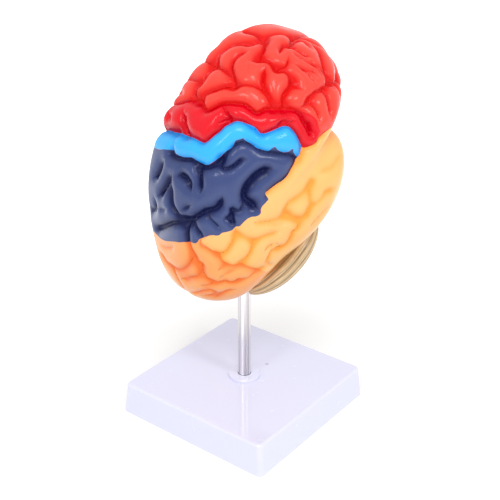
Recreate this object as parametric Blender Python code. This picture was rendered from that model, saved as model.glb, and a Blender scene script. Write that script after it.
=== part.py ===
# Painted hemisphere of a brain on a square display base.
# Metres, +Z up. The origin lies on the ground, under the middle of the whole model.
import math

import bmesh
import bpy
import numpy as np
from mathutils import Matrix

for old in list(bpy.data.objects):
    bpy.data.objects.remove(old, do_unlink=True)

MM = 0.001

# Clearances, in metres
GAP = 0.3 * MM            # air between two pieces that touch on the real model
BORE_GAP = 0.3 * MM       # air round the rod in its bores

# Stand sizes
BASE_SIDE = 110.0 * MM    # width of the base at the ground
BASE_HEIGHT = 20.4 * MM
BASE_DRAFT = 1.85 * MM    # how far each side leans in over the height
BASE_CORNER = 3.2 * MM    # radius of the upright corners
BASE_EDGE = 1.5 * MM      # radius of the top edge
BASE_WALL = 2.8 * MM
BASE_TOP = 3.0 * MM       # thickness of the top plate
SEAT_RADIUS = 10.2 * MM   # raised disc round the rod
SEAT_HEIGHT = 1.9 * MM
SEAT_EDGE = 1.0 * MM
BOSS_RADIUS = 9.0 * MM    # boss under the top plate
BOSS_FOOT = 0.8 * MM      # how far the boss stays off the ground
RIB_THICK = 2.0 * MM
RIB_HEIGHT = 8.0 * MM
RIB_SINK = 0.6 * MM       # how far a rib runs into the walls
ROD_RADIUS = 4.0 * MM
ROD_FOOT = 10.0 * MM      # height of the rod's lower end
ROD_TOP = 151.0 * MM      # height of the rod's upper end
ROD_CHAMFER = 0.6 * MM
SCREW_RADIUS = 2.0 * MM
SCREW_REACH = 9.0 * MM    # length of the thread inside the rod
SCREW_HEAD_RADIUS = 3.9 * MM
SCREW_HEAD_HEIGHT = 2.6 * MM
SCREW_SLOT = 1.0 * MM
SCREW_SLOT_DEPTH = 1.2 * MM
WASHER_RADIUS = 5.0 * MM
WASHER_THICK = 1.0 * MM
POCKET_RADIUS = 5.8 * MM  # pocket in the boss that hides the screw head
LEDGE = 3.0 * MM          # plastic between the rod and the washer
TAP_DEPTH = 12.0 * MM     # depth of the tapped hole in the rod
FUSE = 0.7 * MM           # how far solids that become one run into each other
CORNER_STEP = 1.2 * MM    # how much smaller the hollow's corners are than the base's
HEAD_PROFILE = ((0.6, 0.0), (0.9, 0.3), (1.0, 0.7), (1.0, 1.0))  # screw head: shares of radius, height
SLOT_SHARE = 1.15
ROUND_SMALL = 24          # corners round a small, a middling and a large circle
ROUND_MIDDLE = 32
ROUND_LARGE = 40
EDGE_STEPS = 3

# Edges sharper than this stay sharp, in degrees
SHARP_TURNED = 35
SHARP_FOLDS = 50
SHARP_LEAVES = 60

# Placing of the brain, in millimetres and degrees.
# Brain axes: a runs to the forehead, s to the crown, l out to the side.
MODEL_SHIFT = -7.05       # puts the whole model's middle over the origin, along X
ROD_POINT = (-4.0, 6.0, 30.0)
ROD_POINT_HEIGHT = 149.5
BRAIN_YAW = 27.06
BRAIN_PITCH = 17.0

# Smooth form of the hemisphere, in millimetres
CENTRE = (0.0, 6.0)
HALF_WIDTH = 66.0
DOME_POWER = 2.6
DOME_SIDE_POWER = 2.5
DOME_SCALE = 45.0
RIM = 7.0
TEMPORAL_CENTRE = (5.0, -25.5, 38.0)
TEMPORAL_RADII = (36.0, 19.0, 28.0)
TEMPORAL_TILT = 13.0
TEMPORAL_BLEND = (11.0, 3.0)  # softness of its join, at the rear and at the front
TEMPORAL_JOIN = (26.0, 38.0)   # between these lengths forward the join sharpens
OUTLINE = [
    (87.5, -6), (86.5, 8), (79, 24), (68, 35), (54, 43.5), (40, 50), (24, 54.5), (6, 56), (-12, 55),
    (-30, 50.5), (-48, 43), (-65, 33.5), (-77.5, 21.5), (-82, 8), (-80, -5), (-72.5, -14), (-61, -22),
    (-46, -29), (-31, -36), (-12, -40), (8, -39), (26, -34), (38, -31.5), (50, -33.5), (62, -38),
    (75, -37.5), (85, -24.5),
]
CUT_POINT = (-49.2, -21.3)   # the flat face that the cerebellum lies against
CUT_ANGLE = 30.7             # how far its normal leans from straight down to the back

# Cerebellum, in millimetres
LEAF_CENTRE = (-43.5, -32.0, 24.0)
LEAF_RADII = (32.5, 13.5, 25.0)
LEAF_COUNT = 34
LEAF_DEPTH = 0.8
LEAF_ROWS = 15
LEAF_STEPS = 3
LEAF_END = 1.6            # how soon the leaves reach full depth from their tips

STAR_CENTRE = (20.0, 10.0, 28.0)
STAR_STRETCH = (85.0, 55.0, 40.0)
MAP_CENTRE = (0.0, 6.0, 6.0)
BALL_LEVEL = 7
OUTLINE_STEPS = 24
FURROW_STEPS = 5
CAST_REACH = 126.0        # rays are followed this far in equal steps, then the crossing is halved in on
CAST_STEPS = 28
CAST_HALVINGS = 14
FOLD_POWER = 1.8          # 2 makes round folds, less makes softer ones
END_SHARE = 0.2           # share of its depth that a furrow has at a free end
END_RUN = 6.0
JOIN_REACH = 1.6          # ends nearer than this to another furrow count as joined
MOST_DEEP = 0.999         # furrows that cross stay within the deepest one
CUT_MARGIN = 1.0          # no furrow this near to the flat face of the cut
CUT_FADE = 5.0
GRAZE = (0.12, 0.5)       # furrows fade where the rays from the middle graze the form
INNER_BAND = 2.5          # below this height over the inner face its own fields are painted
SNAP_RANGE = 0.8
CEREBRUM_FACES = 9300

# Furrows of the outer face: depth, half width, points (degrees forward, degrees up) seen from
# the middle of the form.
FURROWS = {
    "superior_frontal": (4.4, 8.0, [
        (76.2, 17.2), (78.1, 21.9), (79, 26.4), (78.3, 30.6), (76.6, 34.9), (74, 37.5), (70.8, 39.2)]),
    "superior_frontal_front": (3.6, 8.0, [(76.2, 17.2), (76.5, 13.5), (77, 9.5)]),
    "superior_frontal_branch": (3.4, 6.5, [(70.8, 39.2), (73.5, 41.5), (77.3, 44.2), (80, 48)]),
    "superior_frontal_rear": (4.2, 7.5, [
        (70.8, 39.2), (67.1, 43.5), (64, 46.9), (60.8, 50), (59.1, 52.9), (55.8, 54), (51.7, 54.2)]),
    "middle_frontal_link": (3.6, 6.5, [
        (70.8, 39.2), (69.3, 38.5), (67.2, 36.2), (64.1, 33.6), (60.9, 30.8)]),
    "middle_frontal_upright": (4.2, 7.0, [
        (70.3, 19.5), (70.7, 22.3), (70.5, 24.9), (68.8, 27.5), (66.2, 29.1), (63.7, 29.8), (60.9, 29.6),
        (58.5, 29), (56.3, 28.8), (54.3, 29.1)]),
    "middle_frontal": (4.6, 7.5, [
        (54.3, 29.1), (54.9, 35), (54.5, 38.9), (54, 43.5), (53, 46.7), (50.3, 48.5), (49.5, 50.5)]),
    "middle_frontal_front": (3.2, 6.0, [
        (54.3, 29.1), (54, 26.5), (53.9, 23.4), (53.1, 19.6), (52.2, 17.3), (51.4, 14.4)]),
    "frontal_spur": (1.6, 4.0, [(63, 21.4), (60.8, 21), (59, 21.4)]),
    "precentral": (4.4, 7.5, [
        (49.5, 50.5), (45.5, 47.5), (42.8, 45), (44.5, 40), (46, 36), (46, 31), (44.8, 24), (42, 19.5),
        (41.2, 17), (43, 13), (43.5, 8), (44, 3), (44, -1), (43, -5), (40, -8), (38, -10.5),
        (36, -12.5)]),
    "precentral_top": (3.2, 7.0, [(49.5, 50.5), (51.7, 54.2), (51.5, 60), (51, 67), (51.5, 76), (52, 84)]),
    "upper_frontal_gate": (4.6, 7.5, [
        (90, 17), (85, 14), (82, 11.5), (77, 9.5), (74.6, 9.7), (72.2, 11), (69.8, 12.3), (68.4, 13.9),
        (66, 15.2)]),
    "upper_frontal_foot": (2.4, 5.5, [(66, 15.2), (65.3, 18), (65, 21)]),
    "upper_frontal_cross": (3.8, 6.5, [
        (77, 9.5), (79, 8), (80, 5), (80.3, 2), (80.5, -1), (79.6, -5), (79, -8)]),
    "inner_frontal_arc": (3.8, 6.0, [
        (66.6, 5), (68, 4.5), (70.5, 3), (72, 1.2), (71.8, -1), (73, -3.6), (75.5, -5.5), (79, -8)]),
    "inner_frontal_step": (3.4, 6.0, [
        (74, -4.6), (76, -8), (77, -11.5), (76.3, -14), (73.5, -15), (71, -15.5)]),
    "inner_frontal_low": (3.4, 6.0, [
        (71.8, -1), (71.2, -3.5), (69.8, -5.6), (68.1, -8.6), (67.6, -10.6), (66.2, -13.5)]),
    "frontal_fork": (4.4, 6.5, [(66, 15.2), (65, 12.8), (64, 10.8), (61.9, 8.7), (60.3, 7.3)]),
    "frontal_fork_rise": (3.2, 5.5, [(60.3, 7.3), (61.2, 4.8), (62, 2.4), (64.3, 1), (66.7, 0.2)]),
    "frontal_fork_front": (3.8, 6.0, [(60.3, 7.3), (59.6, 4), (57.9, 1.6), (56.4, 0.2), (55, -0.5)]),
    "frontal_upright": (5.0, 7.5, [
        (61.3, 12.7), (58.6, 13.8), (56.1, 14.4), (53.7, 14.6), (51.2, 13.9), (49, 12.3), (47.1, 10.9),
        (45.3, 9.8), (43.6, 9.4)]),
    "frontal_middle_drop": (5.0, 7.5, [(55, -0.5), (53, 1), (51, 3), (48.5, 4.5), (46, 4.2), (43.8, 3.8)]),
    "frontal_middle_fork": (4.0, 5.5, [(55, -0.5), (54, -1.8), (52.9, -3.3), (52, -5.5)]),
    "small_wrinkle_a": (2.4, 4.5, [
        (63, -0.5), (62, -3.3), (60.8, -6.3), (59.8, -8.3), (58.2, -9.6), (56.6, -10.6), (55.4, -12.2)]),
    "small_wrinkle_b": (2.2, 4.0, [(64, -12.3), (62, -14.5), (60.4, -15.6), (58.6, -16.3), (57.2, -16.9)]),
    "small_wrinkle_c": (1.6, 4.0, [(60.4, -12), (58.6, -12.8), (57, -13.6)]),
    "outer_frontal_arc": (4.0, 6.5, [
        (57.3, -22), (54, -18.5), (53, -15.5), (52, -12.5), (49.5, -10), (47, -7.5), (45.2, -4.6)]),
    "outer_frontal_fall": (3.0, 6.0, [
        (48.8, -9.3), (47.3, -10.5), (45.5, -12.9), (43.6, -14.6), (41.7, -15.6), (39.8, -16)]),
    "outer_frontal_drop": (3.4, 6.5, [
        (53.6, -17.6), (51, -19.2), (48.6, -20.6), (46.6, -21.4), (44.4, -22.6), (42, -23.6)]),
    "outer_frontal_rise": (4.0, 6.5, [
        (76, -18.5), (72.7, -20.5), (70, -20.6), (67.4, -20), (64.3, -19.5), (61.5, -19.8), (59.1, -20.8),
        (57.3, -22)]),
    "outer_frontal_side": (3.4, 7.0, [
        (74.5, -26), (73, -28), (70.5, -31), (67.5, -32.3), (63.5, -31.6), (59.7, -30), (57, -26.9),
        (56.4, -23.6)]),
    "outer_frontal_edge": (3.0, 7.0, [(59.7, -30), (57.5, -34), (54, -39), (50, -45)]),
    "pole_furrow_a": (3.6, 6.5, [
        (79, -8), (80.5, -12.5), (79.7, -16.4), (78, -20), (76.6, -24), (75.6, -28), (74, -34),
        (70, -42)]),
    "pole_furrow_b": (3.0, 6.0, [(80.5, -12.5), (82.3, -17), (83.5, -22), (84, -30), (80, -40)]),
    "pole_furrow_c": (3.0, 7.0, [(64, -36), (62, -42), (58, -47), (52, -50)]),
    "precentral_notch": (4.6, 7.5, [(43, 62), (40, 62.5), (35, 61.5), (30.5, 59.8), (27, 58)]),
    "precentral_dimple": (3.0, 5.0, [(44.5, 35.4), (42.5, 34), (40.2, 32.3), (38, 31), (36.2, 30.6)]),
    "precentral_dimple_side": (2.2, 4.5, [(38, 31), (37.5, 33), (36, 36), (33.4, 38)]),
    "precentral_fold": (2.6, 4.5, [(37.2, 5.4), (39, 3.6), (38.9, 0.8), (39.6, -1.4)]),
    "precentral_pit": (3.4, 4.0, [(39, -10.6), (37.4, -11.8), (35.8, -12.6)]),
    "central_top": (5.2, 7.5, [(28, 94), (28.5, 84), (28, 76), (28, 68)]),
    "central": (3.4, 6.5, [
        (28, 68), (27, 63), (26, 56), (25.3, 50), (24, 46.5), (24, 44.5), (26, 42.2), (29, 39.4),
        (31.5, 36), (35, 33), (37, 29.5), (37, 25), (36, 22), (34.5, 19.5), (33.8, 17.5), (32.5, 15.5),
        (32, 13.5), (33, 11.5), (34.5, 8.5), (36, 5), (37, 2.5), (37, 0), (35.5, -3), (34, -5),
        (31.5, -7.5), (28.5, -9.3)]),
    "postcentral_top": (3.8, 6.5, [
        (11, 69), (9.4, 66), (9.2, 62), (10, 57.3), (11.4, 51.2), (10.8, 47.2), (9.4, 43.7), (10, 40.2),
        (11.4, 37.3), (13.9, 34.7), (16.3, 32.8)]),
    "postcentral_low": (3.0, 6.0, [
        (16.3, 32.8), (20.6, 30.2), (24, 28), (26.2, 25.4), (27.2, 21.8), (26.4, 17.8), (25, 14.4),
        (24.3, 10.9), (24.4, 7.2), (24.6, 3), (24.8, -1.1), (24.5, -4.9), (22.8, -8.6)]),
    "postcentral_notch": (1.6, 5.0, [(22, 67.2), (18.5, 68), (15, 68.2), (11, 69)]),
    "postcentral_ring": (3.6, 5.0, [
        (16.3, 32.8), (14.2, 33), (12.4, 31.4), (12, 29.4), (14, 26.2), (17, 23.5), (19, 21.4),
        (18.8, 18.6)]),
    "parietal_upright": (4.2, 5.5, [
        (9.4, 43.7), (7.4, 44.4), (4.5, 43), (1.3, 41.8), (-1.4, 41), (-4.2, 40.2), (-6.4, 39.8)]),
    "parietal_lens": (4.6, 6.5, [
        (-3.5, 59.5), (-0.9, 55.6), (-1, 52.2), (-2.6, 49.3), (-4.9, 47.2), (-7.6, 45.3)]),
    "parietal_crown_a": (4.2, 6.5, [(2, 74.5), (-2, 76.6), (-8, 78), (-15, 79.8), (-21, 83)]),
    "parietal_crown_b": (4.4, 6.5, [
        (-4, 63.4), (-8, 65), (-13, 66.2), (-19, 67.3), (-25.6, 68.8), (-31, 71)]),
    "intraparietal": (4.6, 6.5, [
        (-11, 62.6), (-14, 61.4), (-17.6, 60.1), (-21.6, 58.9), (-24.9, 56.8), (-27.2, 54), (-28.6, 50.8),
        (-29.6, 48), (-29.6, 45), (-28.6, 42.2), (-25, 39.5), (-20.8, 37.5), (-18.4, 36), (-15.8, 34.3),
        (-14, 32.6), (-12.5, 30.6), (-11.1, 29.2), (-9.4, 28.2), (-6.6, 27.5), (-4.6, 27.3),
        (-2.4, 27.4)]),
    "parietal_inner": (3.0, 4.5, [(-24.2, 48.5), (-20.6, 46.1), (-17.5, 44.1), (-14.3, 42.1)]),
    "parietal_shelf": (2.0, 5.0, [(-42, 66), (-38, 62.5), (-35, 59.5), (-31.5, 57.5)]),
    "parietal_rear": (4.2, 6.5, [
        (-66, 58), (-56.5, 56), (-50.5, 54.4), (-44.6, 52.6), (-39.1, 50.2), (-35.8, 47.8), (-33.3, 45.7),
        (-30.9, 43.6), (-28.6, 42.2)]),
    "parietal_rear_drop": (4.0, 6.5, [
        (-28.6, 42.2), (-30.8, 40.8), (-33.7, 39.4), (-36.2, 38.4), (-38.4, 37.1), (-40, 35.7),
        (-41.5, 33.7), (-43.3, 31.6), (-44.6, 30), (-45.7, 28.2), (-47.2, 26.3), (-47.7, 24.5),
        (-47.2, 22.8)]),
    "angular_ring": (3.4, 5.0, [
        (-28.6, 42.2), (-26.4, 39.6), (-26.8, 36.9), (-27.9, 35), (-29, 33), (-29.7, 31.5), (-30.1, 29.6),
        (-30.1, 27.4)]),
    "angular_line": (2.4, 4.0, [
        (-15.8, 33), (-16.8, 31.5), (-18.2, 29.3), (-19.1, 27.2), (-20, 25.1), (-20.5, 23.1),
        (-21.1, 20.9)]),
    "angular_top": (3.0, 4.5, [
        (-9, 22.9), (-8.7, 20.9), (-8.7, 18.7), (-8.4, 16.6), (-7.2, 16.2), (-5.1, 16.1), (-3.1, 15.8)]),
    "angular_drop": (3.4, 4.5, [(-8.7, 20.6), (-10.2, 20.1), (-11.8, 19.7), (-13.3, 18.9), (-15.4, 17.8)]),
    "angular_side": (2.4, 4.0, [(-14.5, 25), (-14.5, 22.3), (-13.3, 20.8), (-12, 19.8)]),
    "angular_low": (2.0, 3.5, [(-14.3, 21.8), (-15, 19.9), (-15.7, 18.1)]),
    "supramarginal": (5.4, 7.5, [
        (16.8, 4.5), (16, 7), (14.5, 9.8), (12.2, 12.4), (9, 14.6), (5, 16.4), (1, 16.6), (-1.5, 15),
        (-3, 12), (-4.5, 8.8), (-5.8, 6)]),
    "sylvian": (2.8, 6.0, [
        (0.5, 4), (3, 5), (6, 3.2), (9, 0.6), (12, -2.6), (15, -4.8), (18.5, -6), (22, -7.5), (25, -9.3),
        (28.7, -11), (29.4, -13.2), (31, -16.5), (33.9, -18.6), (36, -21), (38.4, -23.8)]),
    "temporal_upper": (2.6, 7.0, [
        (12.5, -19.6), (10, -18.6), (6, -15.6), (3, -12.8), (0.4, -10.2), (-3.4, -8.9), (-6.2, -10.4)]),
    "temporal_pit": (2.6, 5.0, [
        (13.5, -20), (10, -18.8), (7, -19.6), (3.4, -20.6), (0.9, -21.8), (-2, -21.6), (-4.7, -21.2)]),
    "temporal_blob": (2.8, 6.0, [(-6.2, -10.4), (-7.4, -13.8), (-7.9, -17), (-6.8, -19.8), (-4.7, -21.2)]),
    "temporal_upper_rear": (3.2, 6.5, [
        (-7.9, -17), (-9.7, -19), (-13.3, -19.4), (-15.7, -18), (-18.9, -18.5), (-23.1, -18.5),
        (-25.7, -16.9), (-26.4, -14.4)]),
    "temporal_front": (2.0, 6.5, [
        (16.3, -22.3), (19, -25), (20.3, -28.3), (23, -31.5), (25.5, -34), (28, -38)]),
    "temporal_middle": (2.2, 6.0, [
        (9.4, -30), (8.6, -27.5), (5.9, -26.4), (2.9, -24.5), (0.9, -22.3), (-1, -21)]),
    "temporal_rim": (1.4, 6.0, [(8.6, -27.5), (9.6, -31), (9, -35), (7.5, -40)]),
    "temporal_outer": (1.8, 7.0, [(3, -33), (-2, -30), (-7, -27.5), (-12, -26)]),
    "temporal_strip": (2.4, 6.0, [
        (-13.1, 8.9), (-12.7, 4.9), (-11.8, 1), (-10.6, -3), (-9.2, -6.2), (-7.6, -9.6), (-6.9, -11.5)]),
    "temporal_faint": (1.2, 5.0, [(-14, -1), (-13, -5), (-12.2, -9), (-11.6, -13)]),
    "temporal_wave": (2.8, 6.0, [
        (-20.9, 14.3), (-21.5, 10), (-22.4, 6.2), (-23.1, 3.5), (-22, 1.5), (-20.4, -0.3), (-19.1, -2.5),
        (-18, -5.7), (-17, -8.5), (-16.4, -11)]),
    "temporal_step": (3.2, 6.0, [(-23.1, 3.5), (-25.2, 2.9), (-28, 2.7), (-31, 3), (-33.6, 4), (-36, 5)]),
    "temporal_gate": (3.2, 6.0, [
        (-17.6, 16), (-19, 15), (-20.9, 14.3), (-22.9, 14.3), (-26, 14.2), (-29, 14.6), (-31.8, 15.1),
        (-34, 16.5), (-35.2, 18.4)]),
    "temporal_tail": (2.6, 5.0, [(-22.9, -12), (-23.9, -9), (-25.2, -6.5), (-26.9, -5.1), (-28.8, -5.3)]),
    "temporal_tail_ring": (2.8, 5.0, [
        (-26.4, -14.4), (-27.2, -11.8), (-28.5, -9.8), (-31.2, -9.8), (-33.5, -9.6), (-34.4, -8.3)]),
    "temporal_tail_low": (2.4, 5.0, [(-33.5, -9.6), (-35.6, -11.6), (-36.9, -13.8), (-39.4, -18.5)]),
    "occipital_border": (2.6, 6.5, [
        (-31.5, 30.5), (-34, 29.4), (-35.9, 28.1), (-35.4, 25.7), (-35.6, 22.2), (-35.4, 19), (-36, 16.8),
        (-37.5, 15.3), (-38.5, 12.8), (-38.4, 9.8), (-37.6, 6.9), (-36, 5), (-36.9, 2.5), (-37.7, -1.1),
        (-38.4, -4.8), (-38.6, -8.5)]),
    "occipital_hook": (3.2, 7.0, [
        (-47.2, 22.8), (-49.1, 21.4), (-51.2, 20.2), (-53.4, 20), (-56.4, 20.6), (-59.9, 22),
        (-64.2, 22.2), (-66.9, 23.1), (-70, 23.8)]),
    "occipital_low": (3.2, 6.5, [
        (-51.2, 20.2), (-52.2, 16.9), (-52.1, 14.4), (-51.8, 11.3), (-50.2, 9.2), (-48.4, 7.5),
        (-48.5, 5), (-47.9, 2.6), (-46.2, 1.1)]),
    "occipital_mid": (2.2, 5.0, [(-44.7, 14.9), (-41.5, 13.3), (-39, 12.2)]),
    "occipital_mid_low": (2.2, 5.0, [(-46.7, 11.5), (-43.8, 9.8), (-41.3, 7.8), (-39.4, 5)]),
    "occipital_front": (2.0, 5.5, [(-38.6, -8.5), (-41, -5), (-44, -3), (-46.2, 1.1)]),
    "occipital_shelf": (2.2, 5.5, [(-69, 46.5), (-64.5, 44), (-60.6, 42.3), (-55.4, 41), (-51.5, 41.6)]),
    "occipital_pole_a": (3.4, 7.0, [
        (-45.7, 28.2), (-48, 28.6), (-51.3, 27.9), (-56.8, 27.6), (-62.3, 28.2), (-67.6, 30), (-71, 32),
        (-74, 34.2), (-75.2, 38), (-76, 43)]),
    "occipital_pole_b": (3.0, 6.0, [
        (-74, 13), (-68.9, 12.5), (-63.7, 12.4), (-59.4, 10.9), (-58.2, 8.7), (-60.2, 5.9), (-64.2, 7.6),
        (-68, 9.6)]),
    "occipital_pole_c": (3.0, 6.5, [
        (-66, 4), (-62, 3.6), (-58.1, 3.6), (-54.9, 2.7), (-53.2, 0.8), (-52.4, -1.6)]),
    "occipital_pole_d": (2.4, 6.5, [(-71, 31), (-73, 26), (-75.5, 20), (-79, 14), (-84, 10)]),
    "occipital_pole_e": (2.2, 6.0, [(-60, 17), (-57.5, 14.6), (-54.6, 12.6), (-52, 12.4)]),
    "occipital_pole_f": (2.6, 7.0, [(-70, -3), (-76, -7), (-80, -14), (-82, -22)]),
    "under_temporal_a": (2.4, 7.0, [(24, -46), (14, -49), (2, -50), (-10, -48)]),
    "under_temporal_b": (2.6, 8.0, [(20, -64), (8, -66), (-6, -66)]),
    "under_temporal_c": (2.2, 7.0, [(36, -50), (30, -56), (20, -58)]),
    "under_frontal_a": (2.6, 7.0, [(84, -52), (76, -58), (66, -62)]),
    "under_frontal_b": (2.6, 7.0, [(62, -66), (70, -72), (78, -76)]),
    "crown_frontal": (3.2, 7.0, [(62, 49), (66, 54), (69, 60), (66, 66), (60, 70)]),
    "crown_frontal_side": (2.8, 7.0, [(56, 62), (59, 66), (60, 70), (58, 77)]),
    "crown_precentral": (2.8, 6.5, [(44, 78), (40, 77), (36, 74)]),
    "crown_parietal": (3.0, 7.0, [(-36, 74), (-42, 70), (-48, 69), (-58, 72)]),
    "crown_upper": (3.0, 7.0, [(86, 30), (84, 38), (80, 48), (74, 58)]),
}

# Furrows of the flat inner face: depth, half width, points (a, s) in millimetres.
INNER_FURROWS = {
    "callosal_outer": (2.4, 3.5, [
        (38, -10), (44, -2), (45, 8), (38, 18), (22, 23.5), (2, 25), (-18, 22), (-33, 13), (-38, 3)]),
    "callosal_inner": (2.4, 3.5, [
        (35, -9), (37, 0), (36, 7), (30, 12.5), (18, 16), (2, 17), (-14, 14.5), (-25, 8), (-29, 2),
        (-34, -2), (-38, 3)]),
    "cingulate": (2.8, 6.0, [
        (48, -18), (57, -6), (59, 6), (54, 18), (42, 29), (24, 35), (4, 36.5), (-12, 35), (-22, 39),
        (-26, 46), (-27, 54)]),
    "paracentral": (2.2, 5.5, [(30, 35), (33, 43), (34, 52)]),
    "central_end": (2.0, 5.0, [(15.5, 57), (14, 50), (15, 44)]),
    "parieto_occipital": (3.0, 6.0, [(-52, 42), (-47, 30), (-41, 18), (-36, 7), (-33, 1)]),
    "subparietal": (2.2, 5.0, [(-18, 33), (-27, 29), (-34, 22)]),
    "precuneus": (1.8, 5.0, [(-36, 48), (-35, 40), (-38, 33)]),
    "calcarine": (3.0, 6.0, [(-84, 2), (-72, 5), (-60, 2), (-48, 5), (-40, 4), (-33, 1)]),
    "cuneus": (1.8, 5.0, [(-74, 20), (-64, 18), (-55, 20)]),
    "collateral": (2.4, 6.0, [(-62, -8), (-48, -11), (-34, -16), (-20, -22), (-8, -26)]),
    "frontal_inner_a": (2.0, 6.0, [(78, 18), (70, 13), (67, 4), (70, -6)]),
    "frontal_inner_b": (2.0, 6.0, [(66, 34), (60, 27), (52, 28)]),
    "frontal_inner_c": (1.8, 5.5, [(46, 46), (44, 40), (50, 36)]),
    "frontal_low": (2.0, 6.0, [(80, -16), (70, -19), (60, -17), (50, -22)]),
    "thalamus": (1.8, 3.5, [(12, 6), (4, 10), (-8, 8), (-14, 1), (-10, -6), (0, -9), (9, -5), (12, 6)]),
    "stem_front": (2.0, 4.0, [(18, -12), (12, -20), (10, -30), (6, -38)]),
    "stem_rear": (2.0, 4.0, [(-14, -8), (-16, -18), (-14, -28), (-12, -38)]),
}

# Borders of the painted fields on the outer face, as points of the same map.
LINE_FRONT = [
    (54, 82), (52, 78), (51, 74), (52, 67), (52, 58), (50, 52), (46.5, 49), (43, 45.5), (44, 42),
    (45.5, 38), (46, 34), (45.5, 29), (44.5, 23), (42, 19.5), (41.2, 17), (43, 13), (43.3, 8), (44, 3),
    (44, -1), (44, -4), (43.5, -8), (42.5, -11), (41, -14), (38.5, -15.5), (36.5, -17.5)]
LINE_CENTRAL = [
    (28, 92), (28.5, 80), (27.8, 75), (27.8, 70), (28, 66), (26.7, 60.4), (25.9, 55.2), (25, 50.5),
    (24, 47), (23.7, 44.9), (24.7, 43), (26.6, 40.7), (30.7, 36.5), (33.8, 33.5), (36.4, 30.2),
    (37, 27), (36.6, 23.7), (35.8, 20.7), (34.5, 17.3), (32.7, 15), (32.5, 12.7), (33.3, 10.7),
    (34.6, 7.8), (36, 5), (37, 2.5), (37, 0), (35.5, -3), (34, -5), (31.5, -7.5), (28.9, -9.7)]
LINE_REAR = [
    (8, 94), (9.3, 83.2), (11.3, 76.9), (13, 71), (13.8, 66), (12.4, 65.2), (11.6, 61.7), (11.7, 56.6),
    (13.1, 51.1), (12.4, 48.4), (11.7, 45), (11.2, 42.2), (11.5, 40.1), (13, 38), (16.8, 34.6),
    (21, 31), (24.2, 27.8), (27.2, 26.8), (28.3, 24.5), (29, 23), (28, 21.5), (27, 18.5), (25.5, 15.5),
    (25, 12), (25, 9), (26.3, 8), (27.5, 6.5), (26.5, 5), (25.5, 1.5), (26, -1.5), (28, -3.5),
    (26.5, -4.3), (25, -6.5), (24, -8.5)]
LINE_LOWER = [
    (24, -8.5), (22, -7.5), (18.5, -6), (15, -5), (12, -3), (9.5, 0), (7.5, 2), (5, 4.5), (4, 5.5),
    (2.5, 4.5), (1, 3), (-1.5, 4.5), (-3.5, 5.5), (-5.5, 5.5), (-7, 5), (-9, 6.5), (-10, 10),
    (-12.5, 12.5), (-16, 14), (-17, 15.8), (-19.5, 17), (-21, 19.5), (-22.5, 21.5), (-24.5, 22.5),
    (-26, 26), (-28.5, 28), (-31, 29.5)]
LINE_BACK = [
    (-31, 29.5), (-32.6, 30.6), (-34.6, 30.8), (-36.4, 31.4), (-38, 33.6), (-40.6, 35.2),
    (-42.4, 37.6), (-45.2, 39.8), (-47.6, 41.6), (-50.2, 43.2), (-54.4, 45.2), (-59, 47.8),
    (-63.2, 50.6), (-66, 53.6), (-71, 60), (-76, 68)]
LINE_SYLVIAN = [
    (28.9, -9.7), (28.7, -11), (29.4, -13), (30.5, -15.7), (31.7, -17.5), (33.7, -18.2), (34.4, -18.9),
    (35.8, -20.8), (37.2, -22.4), (38.5, -24), (39.5, -28), (41, -33), (46.5, -38), (50.5, -44),
    (51.5, -50), (50.5, -56), (48.5, -62), (44, -68), (37, -74), (30, -82)]
LINE_TEMPORAL = [
    (-31, 29.5), (-33.4, 28.4), (-34, 25.5), (-34.5, 22), (-34.4, 19.4), (-35, 17.2), (-36.9, 15.6),
    (-38, 13), (-37.9, 9.8), (-37.1, 7), (-36.2, 5), (-36.5, 2.5), (-37.3, -1.1), (-38, -4.8),
    (-39.4, -9), (-41.5, -14), (-44, -20), (-46, -30), (-49, -50), (-58, -74)]

# Fields of the flat inner face, as outlines (a, s) in millimetres.
INNER_FIELDS = {
    "paint_precentral": [
        (33, 70), (33, 52), (31, 42), (29, 35), (20, 35.5), (15, 44), (14, 50), (16, 70)],
    "paint_postcentral": [(16, 70), (14, 50), (15, 44), (20, 35.5), (4, 36.5), (5, 46), (7, 70)],
    "paint_parietal": [
        (7, 70), (5, 46), (4, 36.5), (-18, 22), (-33, 13), (-36, 7), (-41, 18), (-47, 30), (-52, 42),
        (-64, 60)],
    "paint_occipital": [
        (-64, 60), (-52, 42), (-47, 30), (-41, 18), (-36, 7), (-33, 1), (-40, -6), (-38, -14),
        (-36, -50), (-110, -40), (-110, 60)],
    "paint_temporal": [
        (-33, 1), (-40, -6), (-38, -14), (-36, -70), (44, -70), (40, -30), (26, -22), (10, -20),
        (-14, -10), (-29, -3)],
    "paint_core": [
        (38, -10), (44, -2), (45, 8), (38, 18), (22, 23.5), (2, 25), (-18, 22), (-33, 13), (-38, 3),
        (-33, -4), (-16, -10), (-16, -18), (-14, -28), (-12, -70), (6, -70), (6, -38), (10, -30),
        (12, -20), (20, -12), (34, -10)],
}


# Small helpers for smooth solids
def smooth_min(first, second, blend):
    mix = np.clip(0.5 + 0.5 * (second - first) / blend, 0.0, 1.0)
    return second * (1.0 - mix) + first * mix - blend * mix * (1.0 - mix)


def smooth_max(first, second, blend):
    return -smooth_min(-first, -second, blend)


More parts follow.
